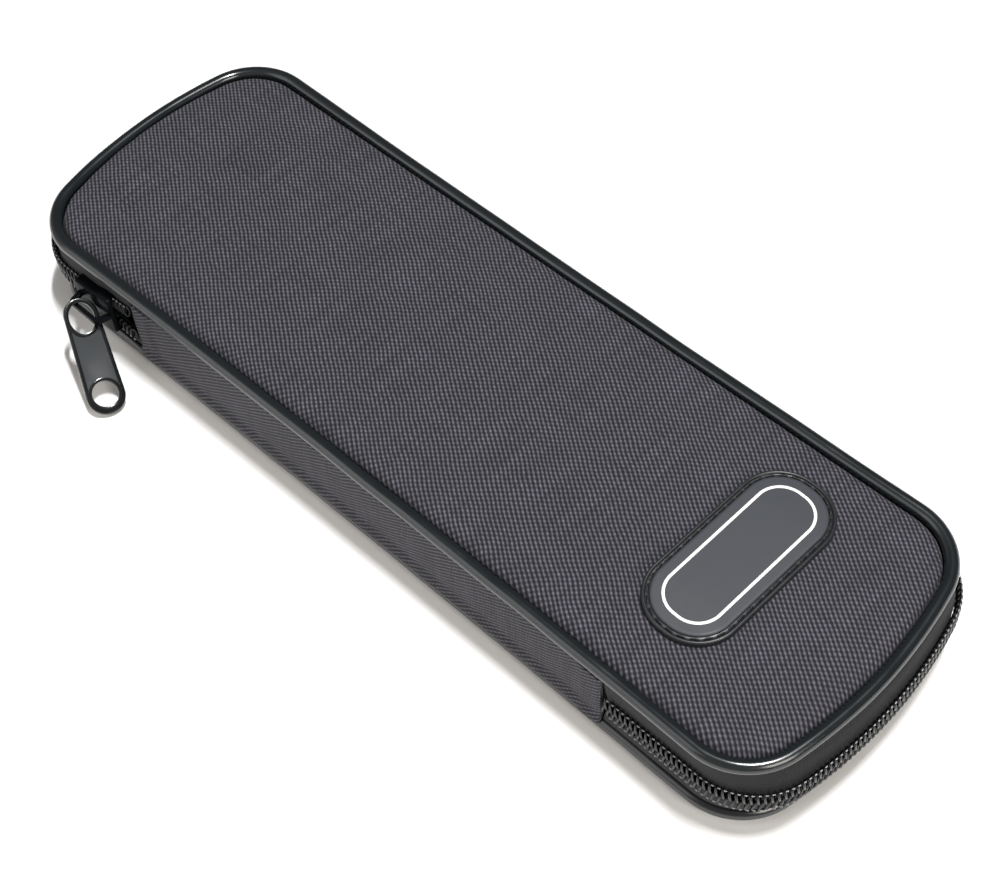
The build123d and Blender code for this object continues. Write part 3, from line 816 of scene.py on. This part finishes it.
# %% Running the tree
def repeat_along(name, path, item, spacing, material, closed=False, unevenness=0.0, seed=1):
    """Runs the tree on a path of points and keeps the result as a plain mesh."""
    edges = [(i, i + 1) for i in range(len(path) - 1)]
    if closed:
        edges.append((len(path) - 1, 0))
    mesh = bpy.data.meshes.new(name)
    mesh.from_pydata(path, edges, [])
    holder = bpy.data.objects.new(name + "_path", mesh)
    bpy.context.scene.collection.objects.link(holder)
    modifier = holder.modifiers.new("repeat", "NODES")
    modifier.node_group = REPEAT
    values = {
        "Item": item,
        "Spacing": spacing,
        "Unevenness": unevenness,
        "Seed": seed,
        "Material": material,
    }
    for socket in REPEAT.interface.items_tree:
        if socket.in_out == "INPUT" and socket.name in values:
            modifier[socket.identifier] = values[socket.name]
    graph = bpy.context.evaluated_depsgraph_get()
    made = bpy.data.meshes.new_from_object(holder.evaluated_get(graph))
    bpy.data.objects.remove(holder)
    bpy.data.objects.remove(item)
    obj = bpy.data.objects.new(name, made)
    bpy.context.scene.collection.objects.link(obj)
    made.polygons.foreach_set("use_smooth", [True] * len(made.polygons))
    return obj


def tube_rings(points, radius, widths=None, sides=6):
    """Rings round a line of points; widths swells each ring sideways."""
    rings = []
    for i, point in enumerate(points):
        ahead = points[min(i + 1, len(points) - 1)] - points[max(i - 1, 0)]
        turn = ahead.to_track_quat("Z", "Y")
        wide = widths[i] if widths else 1
        ring = []
        for k in range(sides):
            angle = 2 * math.pi * k / sides
            local = Vector((math.cos(angle) * wide, math.sin(angle), 0)) * radius
            ring.append(point + turn @ local)
        rings.append(ring)
    return rings


# %% [markdown]
# ## The zipper coil
# The teeth of a coil zipper are one monofilament wound into a flat spring and sewn to the tape. Seen
# from outside each turn shows a leg, a round bend away from the middle and a thicker head that locks
# between two heads of the other row. A whole spring could be swept in one go, but one turn, modelled
# once and repeated at the chain's pitch, stays light and even. The two rows are half a pitch apart.

# %% Coil rows
PITCH = 1.26 * MM
COIL_BEND = 3.1 * MM
COIL_HEAD = 0.6 * MM
COIL_DEPTH = 1.4 * MM
COIL_OUT = TAPE_THICKNESS / 2 + 0.05 * MM + COIL_DEPTH / 2
STRAND = 0.3 * MM  # radius
HEAD_SWELL = 0.3
TURN_STEPS = 16
ROWS = (("lid", 1), ("base", -1))


def coil_turn(side):
    """One turn of the coil, centred on its place in the chain; side as for the tapes."""
    reach = (COIL_BEND + COIL_HEAD) / 2 - STRAND
    centre = (COIL_BEND - COIL_HEAD) / 2
    points, widths = [], []
    for i in range(TURN_STEPS + 1):
        turn = 2 * math.pi * (i / TURN_STEPS - 0.5)
        advance = PITCH * (turn / (2 * math.pi) + 0.1 * math.sin(turn))
        across = centre - math.cos(turn) * reach
        depth = math.sin(turn) * (COIL_DEPTH / 2 - STRAND)
        points.append(Vector((advance, depth, side * across)))
        widths.append(1 + HEAD_SWELL * max(0.0, math.cos(turn)) ** 3)
    obj = join_rings(f"turn_{side}", tube_rings(points, STRAND, widths), caps=True)
    return clean(obj, smooth_angle=80)


def chain_path(side, out, start_shift, steps=900):
    """The line that a row of the chain follows."""
    start = CHAIN_START + start_shift
    points = []
    for i in range(steps + 1):
        distance = start + (CHAIN_END - start) * i / steps
        place, _ = outline_spot(distance)
        point = wall_point(distance, 0.0, out)
        point.z += side * parting(place.x, place.y)
        points.append(point)
    return points


for body, side in ROWS:
    path = chain_path(side, COIL_OUT, PITCH / 2 if side > 0 else 0.0)
    row = repeat_along(f"{body}_coil_row", path, coil_turn(side), PITCH, COIL_NYLON)
    finish_piece(row, body, COIL_NYLON, "zipper_coil", f"{body}_coil")

# %% [markdown]
# ## The coil's thread
# A thread holds the coil down on its tape. It shows only where it crosses the outer bend of each turn,
# and its stitches are coloured light grey, a painted glint that stands for the highlights on the coil's
# bends, so they show as a row of bright dots beside the chain. A continuous thread would be hidden for
# most of its length, so just the short stitches are made, half a pitch on from the turns of the same
# row.

# %% Coil threads
DOT_LENGTH = 0.36 * MM
DOT_RADIUS = 0.15 * MM
DOT_OUT = COIL_OUT + 0.25 * MM
DOT_UP = COIL_BEND + 0.02 * MM


def stitch_item(length, radius, sag, upright=False):
    """A single stitch: a short tube that dives at both ends, outwards or, when upright, upwards."""
    points = []
    for i in range(9):
        share = i / 8
        lift = math.sin(math.pi * share) ** 0.6 * sag
        along = (share - 0.5) * length
        points.append(Vector((along, 0, lift) if upright else (along, -lift, 0)))
    obj = join_rings("stitch", tube_rings(points, radius), caps=True)
    return clean(obj, smooth_angle=80)


for body, side in ROWS:
    path = chain_path(side, DOT_OUT, PITCH / 2 if side > 0 else PITCH)
    for point in path:
        point.z += side * DOT_UP
    # The light grey stitches are a painted glint for the coil's bends.
    dot = stitch_item(DOT_LENGTH, DOT_RADIUS, 0.05 * MM)
    thread = repeat_along(f"{body}_coil_thread", path, dot, PITCH, COIL_THREAD_PAINTED_GLINT)
    finish_piece(thread, body, COIL_THREAD_PAINTED_GLINT, "zipper_tape")

# %% [markdown]
# ## Slider and pull
# These are cast and enamelled, so their shapes are already right in the frame. What a casting adds is
# softness: no edge is sharp. A Bevel modifier would also cut the solid's flat triangles apart, so the
# copy is merged and its flats are joined first, and then every sharp edge gets a fine bevel, which is
# what catches the light on black enamel.

# %% Bevelled copies
MERGE = 0.005 * MM
FLAT_ANGLE = math.radians(2)
SHARP_ANGLE = math.radians(28)


def softened(node, name, width):
    """A copy of a node's solid with its sharp edges bevelled."""
    obj = bpy.data.objects.new(name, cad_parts[node].data.copy())
    bpy.context.scene.collection.objects.link(obj)
    work = bmesh.new()
    work.from_mesh(obj.data)
    bmesh.ops.remove_doubles(work, verts=work.verts, dist=MERGE)
    bmesh.ops.dissolve_limit(work, angle_limit=FLAT_ANGLE, verts=work.verts, edges=work.edges)
    sharp = [e for e in work.edges if len(e.link_faces) == 2 and e.calc_face_angle(0) > SHARP_ANGLE]
    bmesh.ops.bevel(
        work,
        geom=sharp,
        offset=width,
        offset_type="OFFSET",
        segments=3,
        profile=0.5,
        affect="EDGES",
        clamp_overlap=True,
    )
    bmesh.ops.triangulate(work, faces=work.faces)
    work.to_mesh(obj.data)
    work.free()
    obj.data.polygons.foreach_set("use_smooth", [True] * len(obj.data.polygons))
    obj.data.set_sharp_from_angle(angle=math.radians(40))
    return obj


slider_body = softened("zip_slider", "slider_body", 0.16 * MM)
finish_piece(slider_body, "slider", CAST_ENAMEL, "slider_enamel", "zip_slider")
pull_plate = softened("pull_tab", "pull_plate", 0.14 * MM)
finish_piece(pull_plate, "pull", ENAMEL, "slider_enamel", "pull_tab")

# %% [markdown]
# ## The pull's fields
# The pull's sunk fields have a satin finish against its glossy rim. They could be picked by number, but
# numbers change with the mesh. They are the flat levels that lie deeper than the rim on both sides, so
# they are found by their height across the plate, which is the direction that most of it faces.

# %% Satin fields of the pull
FIELD_DEPTH = 0.14 * MM


def paint_fields(obj, material):
    """Gives the plate's sunk levels a second material."""
    areas = {}
    for face in obj.data.polygons:
        heading = tuple(round(part, 2) for part in face.normal)
        areas[heading] = areas.get(heading, 0) + face.area
    facing = Vector(max(areas, key=areas.get)).normalized()
    flat = [f for f in obj.data.polygons if abs(f.normal.dot(facing)) > 0.999]
    levels = [f.center.dot(facing) for f in flat]
    lowest, highest = min(levels), max(levels)
    obj.data.materials.append(material)
    for face, level in zip(flat, levels):
        if min(level - lowest, highest - level) > FIELD_DEPTH:
            face.material_index = 1
    sunk = sum(f.area for f in obj.data.polygons if f.material_index == 1)
    print(f"{obj.name}: {sunk / MM**2:.0f} square mm of satin field")


paint_fields(pull_plate, SATIN_ENAMEL)

# %% [markdown]
# ## The badge
# A moulded rubber patch is sewn across the lid: a raised rim, a sewing groove and a raised field with a
# plain printed line round it. It could be extruded step by step. Its outline is a rounded rectangle
# that grows or shrinks along its normals, so one function gives every ring, and a list of (margin,
# height) pairs is the whole cross-section. The rings lie on the lid's crown, as soft rubber does.

# %% Badge shape
BADGE_PLACE = Vector((70.6 * MM, 1.3 * MM))
BADGE_TURN = Matrix.Rotation(math.radians(-1.9), 2)
LINE_HALF = Vector((6.45 * MM, 18.6 * MM))
LINE_CORNER = 5.9 * MM
BADGE_CORE = LINE_HALF - Vector((LINE_CORNER, LINE_CORNER))


def badge_ring(margin, height, share=0.0, count=160):
    """A ring of the badge beyond its printed line; share draws it in to the badge's middle line."""
    ring = []
    for i in range(count):
        angle = 2 * math.pi * i / count
        direction = Vector((math.cos(angle), math.sin(angle)))
        corner = Vector(math.copysign(core, part) for core, part in zip(BADGE_CORE, direction))
        spot = corner + direction * (LINE_CORNER + margin)
        spot = spot.lerp(Vector((0, max(-BADGE_CORE.y, min(BADGE_CORE.y, spot.y)))), share)
        placed = BADGE_PLACE + BADGE_TURN @ spot
        ring.append(Vector((*placed, LID_SEAM + crown(*placed) + height)))
    return ring


def beyond_line(spot):
    """How far a spot of the badge lies beyond its printed line."""
    local = BADGE_TURN.transposed() @ (spot - BADGE_PLACE)
    outside = Vector(max(0.0, abs(part) - core) for part, core in zip(local, BADGE_CORE))
    return outside.length - LINE_CORNER


print(f"badge line {2 * LINE_HALF.x / MM:.1f} x {2 * LINE_HALF.y / MM:.1f} mm")

# %% Badge moulding and its line
BADGE_PROFILE = [
    (3.9, -0.5), (3.9, 0.95), (3.82, 1.16), (3.65, 1.28), (3.45, 1.3), (3.25, 1.24), (3.12, 1.1),
    (3.08, 0.84), (2.95, 0.8), (2.5, 0.8), (2.36, 0.84), (2.3, 1.1), (2.22, 1.3), (2.0, 1.39),
    (1.7, 1.4), (-0.8, 1.4), (-3.0, 1.4),
]  # fmt: skip
LINE_PROFILE = [(0, 1.3), (0, 1.48), (-0.08, 1.52), (-0.52, 1.52), (-0.6, 1.48), (-0.6, 1.3)]
FIELD_MARGIN = 2.32 * MM

badge_rings = [badge_ring(margin * MM, height * MM) for margin, height in BADGE_PROFILE]
badge_rings += [badge_ring(-3.0 * MM, 1.4 * MM, share) for share in (0.5, 1.0)]
under_badge = [badge_ring(-3.0 * MM, -0.5 * MM, share) for share in (1.0, 0.0)]
badge = clean(join_rings("badge_moulding", under_badge + badge_rings), smooth_angle=50)
finish_piece(badge, "lid", RUBBER, "badge_rubber", "badge_patch")
# Beyond the field's margin, the groove, the rim and its outer wall take the darker rubber, which is
# painted shade for the groove and the wall.
badge.data.materials.append(RIM_RUBBER_PAINTED_SHADE)
for face in badge.data.polygons:
    face.material_index = int(beyond_line(face.center.xy) > FIELD_MARGIN)
line_rings = [badge_ring(margin * MM, height * MM) for margin, height in LINE_PROFILE]
line = clean(join_rings("badge_printed_line", line_rings, loop_stack=True), smooth_angle=50)
finish_piece(line, "lid", PRINT, "badge_print", "badge_line")

# %% [markdown]
# The groove holds one row of black lockstitch, laid down by the same tree as the coil. Each stitch
# differs a little in size from the next.

# %% Badge stitches
groove = badge_ring(2.72 * MM, 0.84 * MM, count=320)
stitch = stitch_item(1.7 * MM, 0.2 * MM, 0.2 * MM, upright=True)
badge_thread = repeat_along("badge_stitches", groove, stitch, 2.6 * MM, THREAD, True, 0.08, 3)
finish_piece(badge_thread, "lid", THREAD, "binding_tape")

# %% [markdown]
# ## The spine
# The long front side is a strip of the cover cloth, folded in at both ends over the zipper. It tucks in
# under the upper piping, laps out over the lower one, and hinges along both when the case is opened.
# One strip would tear at a hinge, so it is made in two halves that meet at mid height. The inner side is
# lining.

# %% Spine
SPINE_OUT = 0.5 * MM
SPINE_THICKNESS = 0.8 * MM
SPINE_TOP = (LID_SEAM - BASE_SEAM) / 2 - PIPING_RADIUS * 0.55
SPINE_COLUMNS = 170
SPINE_ROWS = [0, 0.1, 0.2, 0.3, 0.4, 0.5, 0.6, 0.7, 0.76, 0.8, 0.82, 0.84, 0.86, 0.88, 0.9, 0.95, 1.0]
BELLY = 0.35 * MM
TUCK, TUCK_START, TUCK_SPAN = 2.2 * MM, 0.8, 0.09  # the two latter are shares of the half height
LAP, LAP_START = 0.85 * MM, 0.6
HEM = 5.0 * MM
HEM_RISE = 0.35 * MM


def spine_out(share, side):
    """How far the strip stands out; it tucks in under the upper piping and laps on the lower one."""
    out = SPINE_OUT + BELLY * math.cos(math.pi / 2 * share)
    if side > 0:
        return out - TUCK * ease((share - TUCK_START) / TUCK_SPAN)
    return out + LAP * ease((share - LAP_START) / (1 - LAP_START))


def hem_rise(x):
    """How much the folded hem adds near the strip's ends."""
    to_end = min(x - SPINE_START, SPINE_END - x)
    rise = HEM_RISE * (1 if to_end < HEM else math.exp(-(to_end - HEM) / (0.5 * MM)))
    return rise * min(1.0, 0.35 + to_end / (0.6 * MM))


def spine_half(name, side):
    """The strip from mid height to one piping; side as for the tapes."""
    rings = []
    for i in range(SPINE_COLUMNS + 1):
        x = SPINE_START + (SPINE_END - SPINE_START) * i / SPINE_COLUMNS
        place, _ = outline_spot(outline_distance(x))
        outer, inner = [], []
        for share in SPINE_ROWS:
            up = side * SPINE_TOP * share
            soft = noise.noise(Vector((x * 55, up * 90, 4.0))) * 0.14 * MM
            y = place.y - (spine_out(share, side) + hem_rise(x) + soft)
            outer.append(Vector((x, y, MIDDLE + up)))
            inner.append(Vector((x, y + SPINE_THICKNESS, MIDDLE + up)))
        rings.append(outer + inner[::-1])
    obj = clean(join_rings(name, rings, caps=True), smooth_angle=50)
    return map_uv(obj, lambda co: (co.x, -co.z))


# %% [markdown]
# Each half gets the cover cloth outside and the lining inside, hides the solid of the spine panel, and
# keeps its points in world space.

# %% Spine halves
SPINE_HALVES = (
    ("spine_cloth_lower", -1, ("base", "spine")),
    ("spine_cloth_upper", 1, ("spine", "lid")),
)
BEND_FROM = 0.55  # share of the half height; the heights worked out from it are not used

for name, side, bodies in SPINE_HALVES:
    half = spine_half(name, side)
    half.data.materials.append(COVER_CLOTH)
    half.data.materials.append(LINING_CLOTH)
    for face in half.data.polygons:
        face.material_index = int(face.normal.y > 0.5)
    low, high = sorted(MIDDLE + side * SPINE_TOP * share for share in (1, BEND_FROM))
    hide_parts("spine_panel")
    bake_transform(half)
    print(f"{name}: {len(half.data.polygons)} faces across {bodies}")

# %% [markdown]
# ## The lining
# The lining is a brushed knit glued to the stiffener in each half. It could be a flat plate, but glued
# cloth is never quite level, so the outline is drawn in to the middle line and softly rippled.

# %% Lining
LINING_INSET = PIPING_RADIUS + 0.1 * MM
LINING_STATIONS = 300
LINING_SHARES = (0.25, 0.5, 0.75, 1.0)


def lining_level(z):
    """Rings of one face of the lining, from its edge to the case's middle line."""
    spots = [outline_spot(i * OUTLINE_LENGTH / LINING_STATIONS) for i in range(LINING_STATIONS)]
    rings = [[Vector((*(place - normal * LINING_INSET), z)) for place, normal in spots]]
    for share in LINING_SHARES:
        ring = []
        for point in rings[0]:
            moved = towards_middle(point.xy, share)
            ripple = noise.noise(Vector((moved.x * 50, moved.y * 50, z * 90))) * 0.04 * MM
            ring.append(Vector((*moved, z + ripple)))
        rings.append(ring)
    return rings


def lining(name, node, body):
    low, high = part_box(node)
    stack = lining_level(low[2])[::-1] + lining_level(high[2])
    obj = clean(join_rings(name, stack), merge=0.02 * MM, smooth_angle=50)
    map_uv(obj, lambda co: (co.x, co.y))
    finish_piece(obj, body, LINING_CLOTH, "lining_cloth", node)


lining("lid_lining_cloth", "lid_lining", "lid")
lining("base_lining_cloth", "base_lining", "base")

# %% [markdown]
# ## Straps and pocket
# The base has two elastic straps for the handle and the head, and the lid a flat pocket for ear tips
# with an elastic hem. A cube with a Displace modifier would come near. A grid for each face and a wall
# round them gives the same soft ripple on both sides, so the cloth keeps its thickness, and its middle
# can arch away from what it lies on.


# %% Soft sheets over a box
def slab_faces(columns, rows):
    """Quads of a sheet's top, its underside and the wall round them."""
    count = (columns + 1) * (rows + 1)

    def spot(i, j):
        return i * (rows + 1) + j

    faces = []
    for i in range(columns):
        for j in range(rows):
            quad = (spot(i, j), spot(i + 1, j), spot(i + 1, j + 1), spot(i, j + 1))
            faces.append(quad)
            faces.append(tuple(count + k for k in reversed(quad)))
    rim = [spot(i, 0) for i in range(columns)] + [spot(columns, j) for j in range(rows)]
    rim += [spot(i, rows) for i in range(columns, 0, -1)] + [spot(0, j) for j in range(rows, 0, -1)]
    for a, b in zip(rim, rim[1:] + rim[:1]):
        faces.append((b, a, count + a, count + b))
    return faces


def soft_slab(name, node, cells, ripple, uv, arch=0.0):
    """A thin closed sheet over a node's box; arch lifts its middle, or drops it when negative."""
    low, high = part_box(node)
    columns, rows = cells
    top, bottom = [], []
    for i in range(columns + 1):
        for j in range(rows + 1):
            u, v = i / columns, j / rows
            x = low[0] + (high[0] - low[0]) * u
            y = low[1] + (high[1] - low[1]) * v
            soft = noise.noise(Vector((x * 60, y * 60, low[2] * 90))) * ripple
            lift = arch * math.sin(math.pi * u) * math.sin(math.pi * v)
            top.append(Vector((x, y, high[2] + soft + max(0.0, lift))))
            bottom.append(Vector((x, y, low[2] + soft + min(0.0, lift))))
    obj = clean(mesh_object(name, top + bottom, slab_faces(columns, rows)), smooth_angle=60)
    return map_uv(obj, uv)


# %% Straps, pocket and hem
def along_case(co):
    return co.x, co.y


def across_case(co):
    return co.y, co.x


STRAPS = ("handle_strap", "head_strap")
for node in STRAPS:
    strap = soft_slab(node + "_elastic", node, (14, 40), 0.05 * MM, along_case, 1.1 * MM)
    finish_piece(strap, "base", ELASTIC_CLOTH, "elastic", node)
pocket = soft_slab("pocket_cloth", "specula_pocket", (60, 36), 0.12 * MM, along_case, -0.3 * MM)
finish_piece(pocket, "lid", LINING_CLOTH, "lining_cloth", "specula_pocket")
hem = soft_slab("pocket_elastic_hem", "pocket_hem", (8, 60), 0.06 * MM, across_case, -0.2 * MM)
finish_piece(hem, "lid", ELASTIC_CLOTH, "elastic", "pocket_hem")

# %% [markdown]
# ## The sewing inside
# Lockstitch holds the pocket on three sides and each strap at both ends. A bump could hint at it, but
# real stitches catch the light, and the tree that winds the coil lays them down, one at a time, just
# inside the edges.

# %% Sewing
STITCH_INSET = 1.2 * MM


def seam_line(name, body, points, level, facing):
    """A row of stitches along points of a flat piece; facing is up or down."""
    stitch = stitch_item(1.9 * MM, 0.16 * MM, facing * 0.12 * MM, upright=True)
    path = [Vector((x, y, level)) for x, y in points]
    row = repeat_along(name, path, stitch, 2.5 * MM, THREAD, unevenness=0.05, seed=5)
    finish_piece(row, body, THREAD, "lining_cloth")


for node in STRAPS:
    low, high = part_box(node)
    for end, y in (("front", low[1] + 2 * MM), ("back", high[1] - 2 * MM)):
        points = [(low[0] + 1 * MM, y), (high[0] - 1 * MM, y)]
        seam_line(f"{node}_{end}_stitches", "base", points, high[2] + 0.15 * MM, 1)
low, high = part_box("specula_pocket")
front, back = low[1] + STITCH_INSET, high[1] - STITCH_INSET
left, right = low[0] + STITCH_INSET, high[0]
three_sides = [(right, front), (left, front), (left, back), (right, back)]
seam_line("pocket_stitches", "lid", three_sides, low[2] - 0.1 * MM, -1)

# %% [markdown]
# ## The binding
# In each half the raw seam is wrapped in a folded tape. A flat strip could be folded over the edge, but
# the fold is the same all the way, so it is a rounded profile carried round the outline, with the slight
# unevenness of a tape that is guided by hand.

# %% Binding
BINDING_PROFILE = [  # outwards from the outline and up from the seam, in mm
    (-0.85, -1.55), (-3.0, -1.55), (-3.0, -3.4), (-2.7, -3.95), (-1.9, -4.15), (-1.15, -3.95),
    (-0.85, -3.4),
]  # fmt: skip
BINDING_STATIONS = STATIONS // 2
BINDING_WAVES = 0.1 * MM


def binding(name, seam, facing):
    """The inner edge and the lower part of the profile are uneven, and the sewn edge is straight."""
    rings = []
    for i in range(BINDING_STATIONS):
        place, normal = outline_spot(i * OUTLINE_LENGTH / BINDING_STATIONS)
        soft = noise.noise(Vector((place.x, place.y, seam)) * 120) * BINDING_WAVES
        ring = []
        for out, up in BINDING_PROFILE:
            spot = place + normal * (out * MM + soft * (out < -1.5))
            ring.append(Vector((*spot, seam + facing * (up * MM + soft * (up < -2)))))
        rings.append(ring)
    obj = clean(join_rings(name, rings, loop_stack=True), smooth_angle=60)
    return map_uv(obj, lambda co: (co.x + co.y, co.z + co.y))


for body, seam, facing in (("lid", LID_SEAM, 1), ("base", BASE_SEAM, -1)):
    tape = binding(body + "_binding", seam, facing)
    finish_piece(tape, body, BINDING_CLOTH, "binding_tape", body + "_seam_binding")

# %% [markdown]
# ## Pieces that stay as they are
# The stiffener boards and the pad of the spine are plain in real life too, and the linings hide them.
# A new mesh would add nothing, so they keep their solids and get a finish of their own. The cloth over
# the spine's pad is a flat strip, stretched between the two bindings.


# %% Finishes for carried-over solids
def paint_node(node, material):
    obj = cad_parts[node]
    if not obj.material_slots:
        obj.data.materials.append(material)
    for slot in obj.material_slots:
        slot.material = material
    print(f"{node}: {material.name}")


paint_node("lid_board", BOARD)
paint_node("base_board", BOARD)
paint_node("spine_pad", FOAM)

# %% Spine lining
spine_inside = soft_slab("spine_lining_cloth", "spine_lining", (80, 1), 0.0, lambda co: (co.x, co.z))
finish_piece(spine_inside, "spine", LINING_CLOTH, "lining_cloth", "spine_lining")
low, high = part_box("spine_lining")
print(f"spine lining cut {(high[0] - low[0]) / MM:.1f} x {(high[2] - low[2]) / MM:.1f} mm")

# %% [markdown]
# ## Table and room
# The case lies on a plain white table in a pale room. An even sky would lift every shadow, so the room
# is bright only on the camera's side, brightest at table height and darker above. Black vinyl mirrors
# that as a dark inner half and a grey outer half.

# %% Floor and world
half_floor = 3.0
corners = [(x * half_floor, y * half_floor, 0) for x, y in ((-1, -1), (1, -1), (1, 1), (-1, 1))]
floor = mesh_object("floor", corners, [(0, 1, 2, 3)])
white = {"Base Color": (0.9, 0.9, 0.9, 1), "Roughness": 0.6}
floor.data.materials.append(new_material("white table", white)[0])

world = bpy.data.worlds.new("white room")
world.use_nodes = True
sky = world.node_tree
background = sky.nodes["Background"]
towards = add(sky, "ShaderNodeTexCoord").outputs["Generated"]
parts = add(sky, "ShaderNodeSeparateXYZ", {0: towards}).outputs
falling = calc(sky, "SUBTRACT", 1.0, calc(sky, "MULTIPLY", parts[2], 0.5))
front_side = {"Value": parts[1], "From Min": 0.15, "From Max": -0.3, "To Min": 0.0, "To Max": 0.34}
front = add(sky, "ShaderNodeMapRange", front_side, interpolation_type="SMOOTHSTEP").outputs[0]
strength = calc(sky, "ADD", calc(sky, "MULTIPLY", falling, front), 0.125)
background.inputs["Color"].default_value = (1.0, 0.93, 0.84, 1)
sky.links.new(strength, background.inputs["Strength"])
bpy.context.scene.world = world
print("room:", world.name)

# %% [markdown]
# ## Lights
# The main light is a narrow strip almost overhead, a little behind the case. A wide softbox would blur
# the shadow, but the strip throws a short crisp one along the spine side, and a thin bright line where
# the piping turns towards it. A weak warm lamp at the right shows the zipper wall there, and a large dim
# panel at the front left gives the spine and the piping's outer half their grey.


# %% Soft lights
def soft_light(name, place, size, power, aim=(0, 0, 0), color=(1, 1, 1)):
    """An area light of a width and a height in metres, turned towards a point."""
    data = bpy.data.lights.new(name, "AREA")
    data.shape = "RECTANGLE"
    data.size, data.size_y = size
    data.energy = power
    data.color = color
    lamp = bpy.data.objects.new(name, data)
    bpy.context.scene.collection.objects.link(lamp)
    lamp.location = place
    lamp.rotation_euler = (Vector(aim) - Vector(place)).to_track_quat("-Z", "Y").to_euler()
    print(f"{name} light: {power} W")


soft_light("key", (0.14, 0.17, 1.4), (0.3, 0.05), 22.5)
soft_light("side", (0.6, -0.1, 0.42), (0.3, 0.3), 2.4, (0.05, 0, 0.02), (1, 0.95, 0.88))
soft_light("panel", (-0.45, -0.85, 0.52), (0.7, 0.95), 2.8, color=(0.97, 0.98, 1))

# %% [markdown]
# ## Camera
# The camera stands beyond the corner between the badge end and the spine side, and looks down on the
# case. It could be aimed by hand or by a Track To constraint. Here a heading, a height angle and a roll
# about the point it looks at give its three axes, so that each can be changed by itself.

# %% Camera
HEADING, HEIGHT_ANGLE, ROLL_ANGLE = (math.radians(angle) for angle in (46.925, 54.882, -4.281))
LOOK_AT = Vector((16.512, -8.051, 22.7)) * MM
DISTANCE = 374.209 * MM


def camera_axes():
    """The camera's right, up and back directions."""
    right = Vector((math.cos(HEADING), math.sin(HEADING), 0))
    level = Vector((-math.sin(HEADING), math.cos(HEADING), 0)) * math.sin(HEIGHT_ANGLE)
    up = level + Vector((0, 0, math.cos(HEIGHT_ANGLE)))
    rolled_right = right * math.cos(ROLL_ANGLE) + up * math.sin(ROLL_ANGLE)
    rolled_up = up * math.cos(ROLL_ANGLE) - right * math.sin(ROLL_ANGLE)
    return rolled_right, rolled_up, right.cross(up)


def place_camera():
    data = bpy.data.cameras.new("camera")
    data.lens = 66.92
    data.sensor_width = 36.0
    data.clip_start = 0.01
    camera = bpy.data.objects.new("camera", data)
    bpy.context.scene.collection.objects.link(camera)
    axes = camera_axes()
    turned = Matrix(axes).transposed().to_4x4()
    camera.matrix_world = Matrix.Translation(LOOK_AT + axes[2] * DISTANCE) @ turned
    bpy.context.scene.camera = camera


place_camera()
bpy.context.scene.view_settings.view_transform = "Standard"
print(f"camera {DISTANCE / MM:.0f} mm from the case")

# %% Finish
bpy.context.view_layer.update()
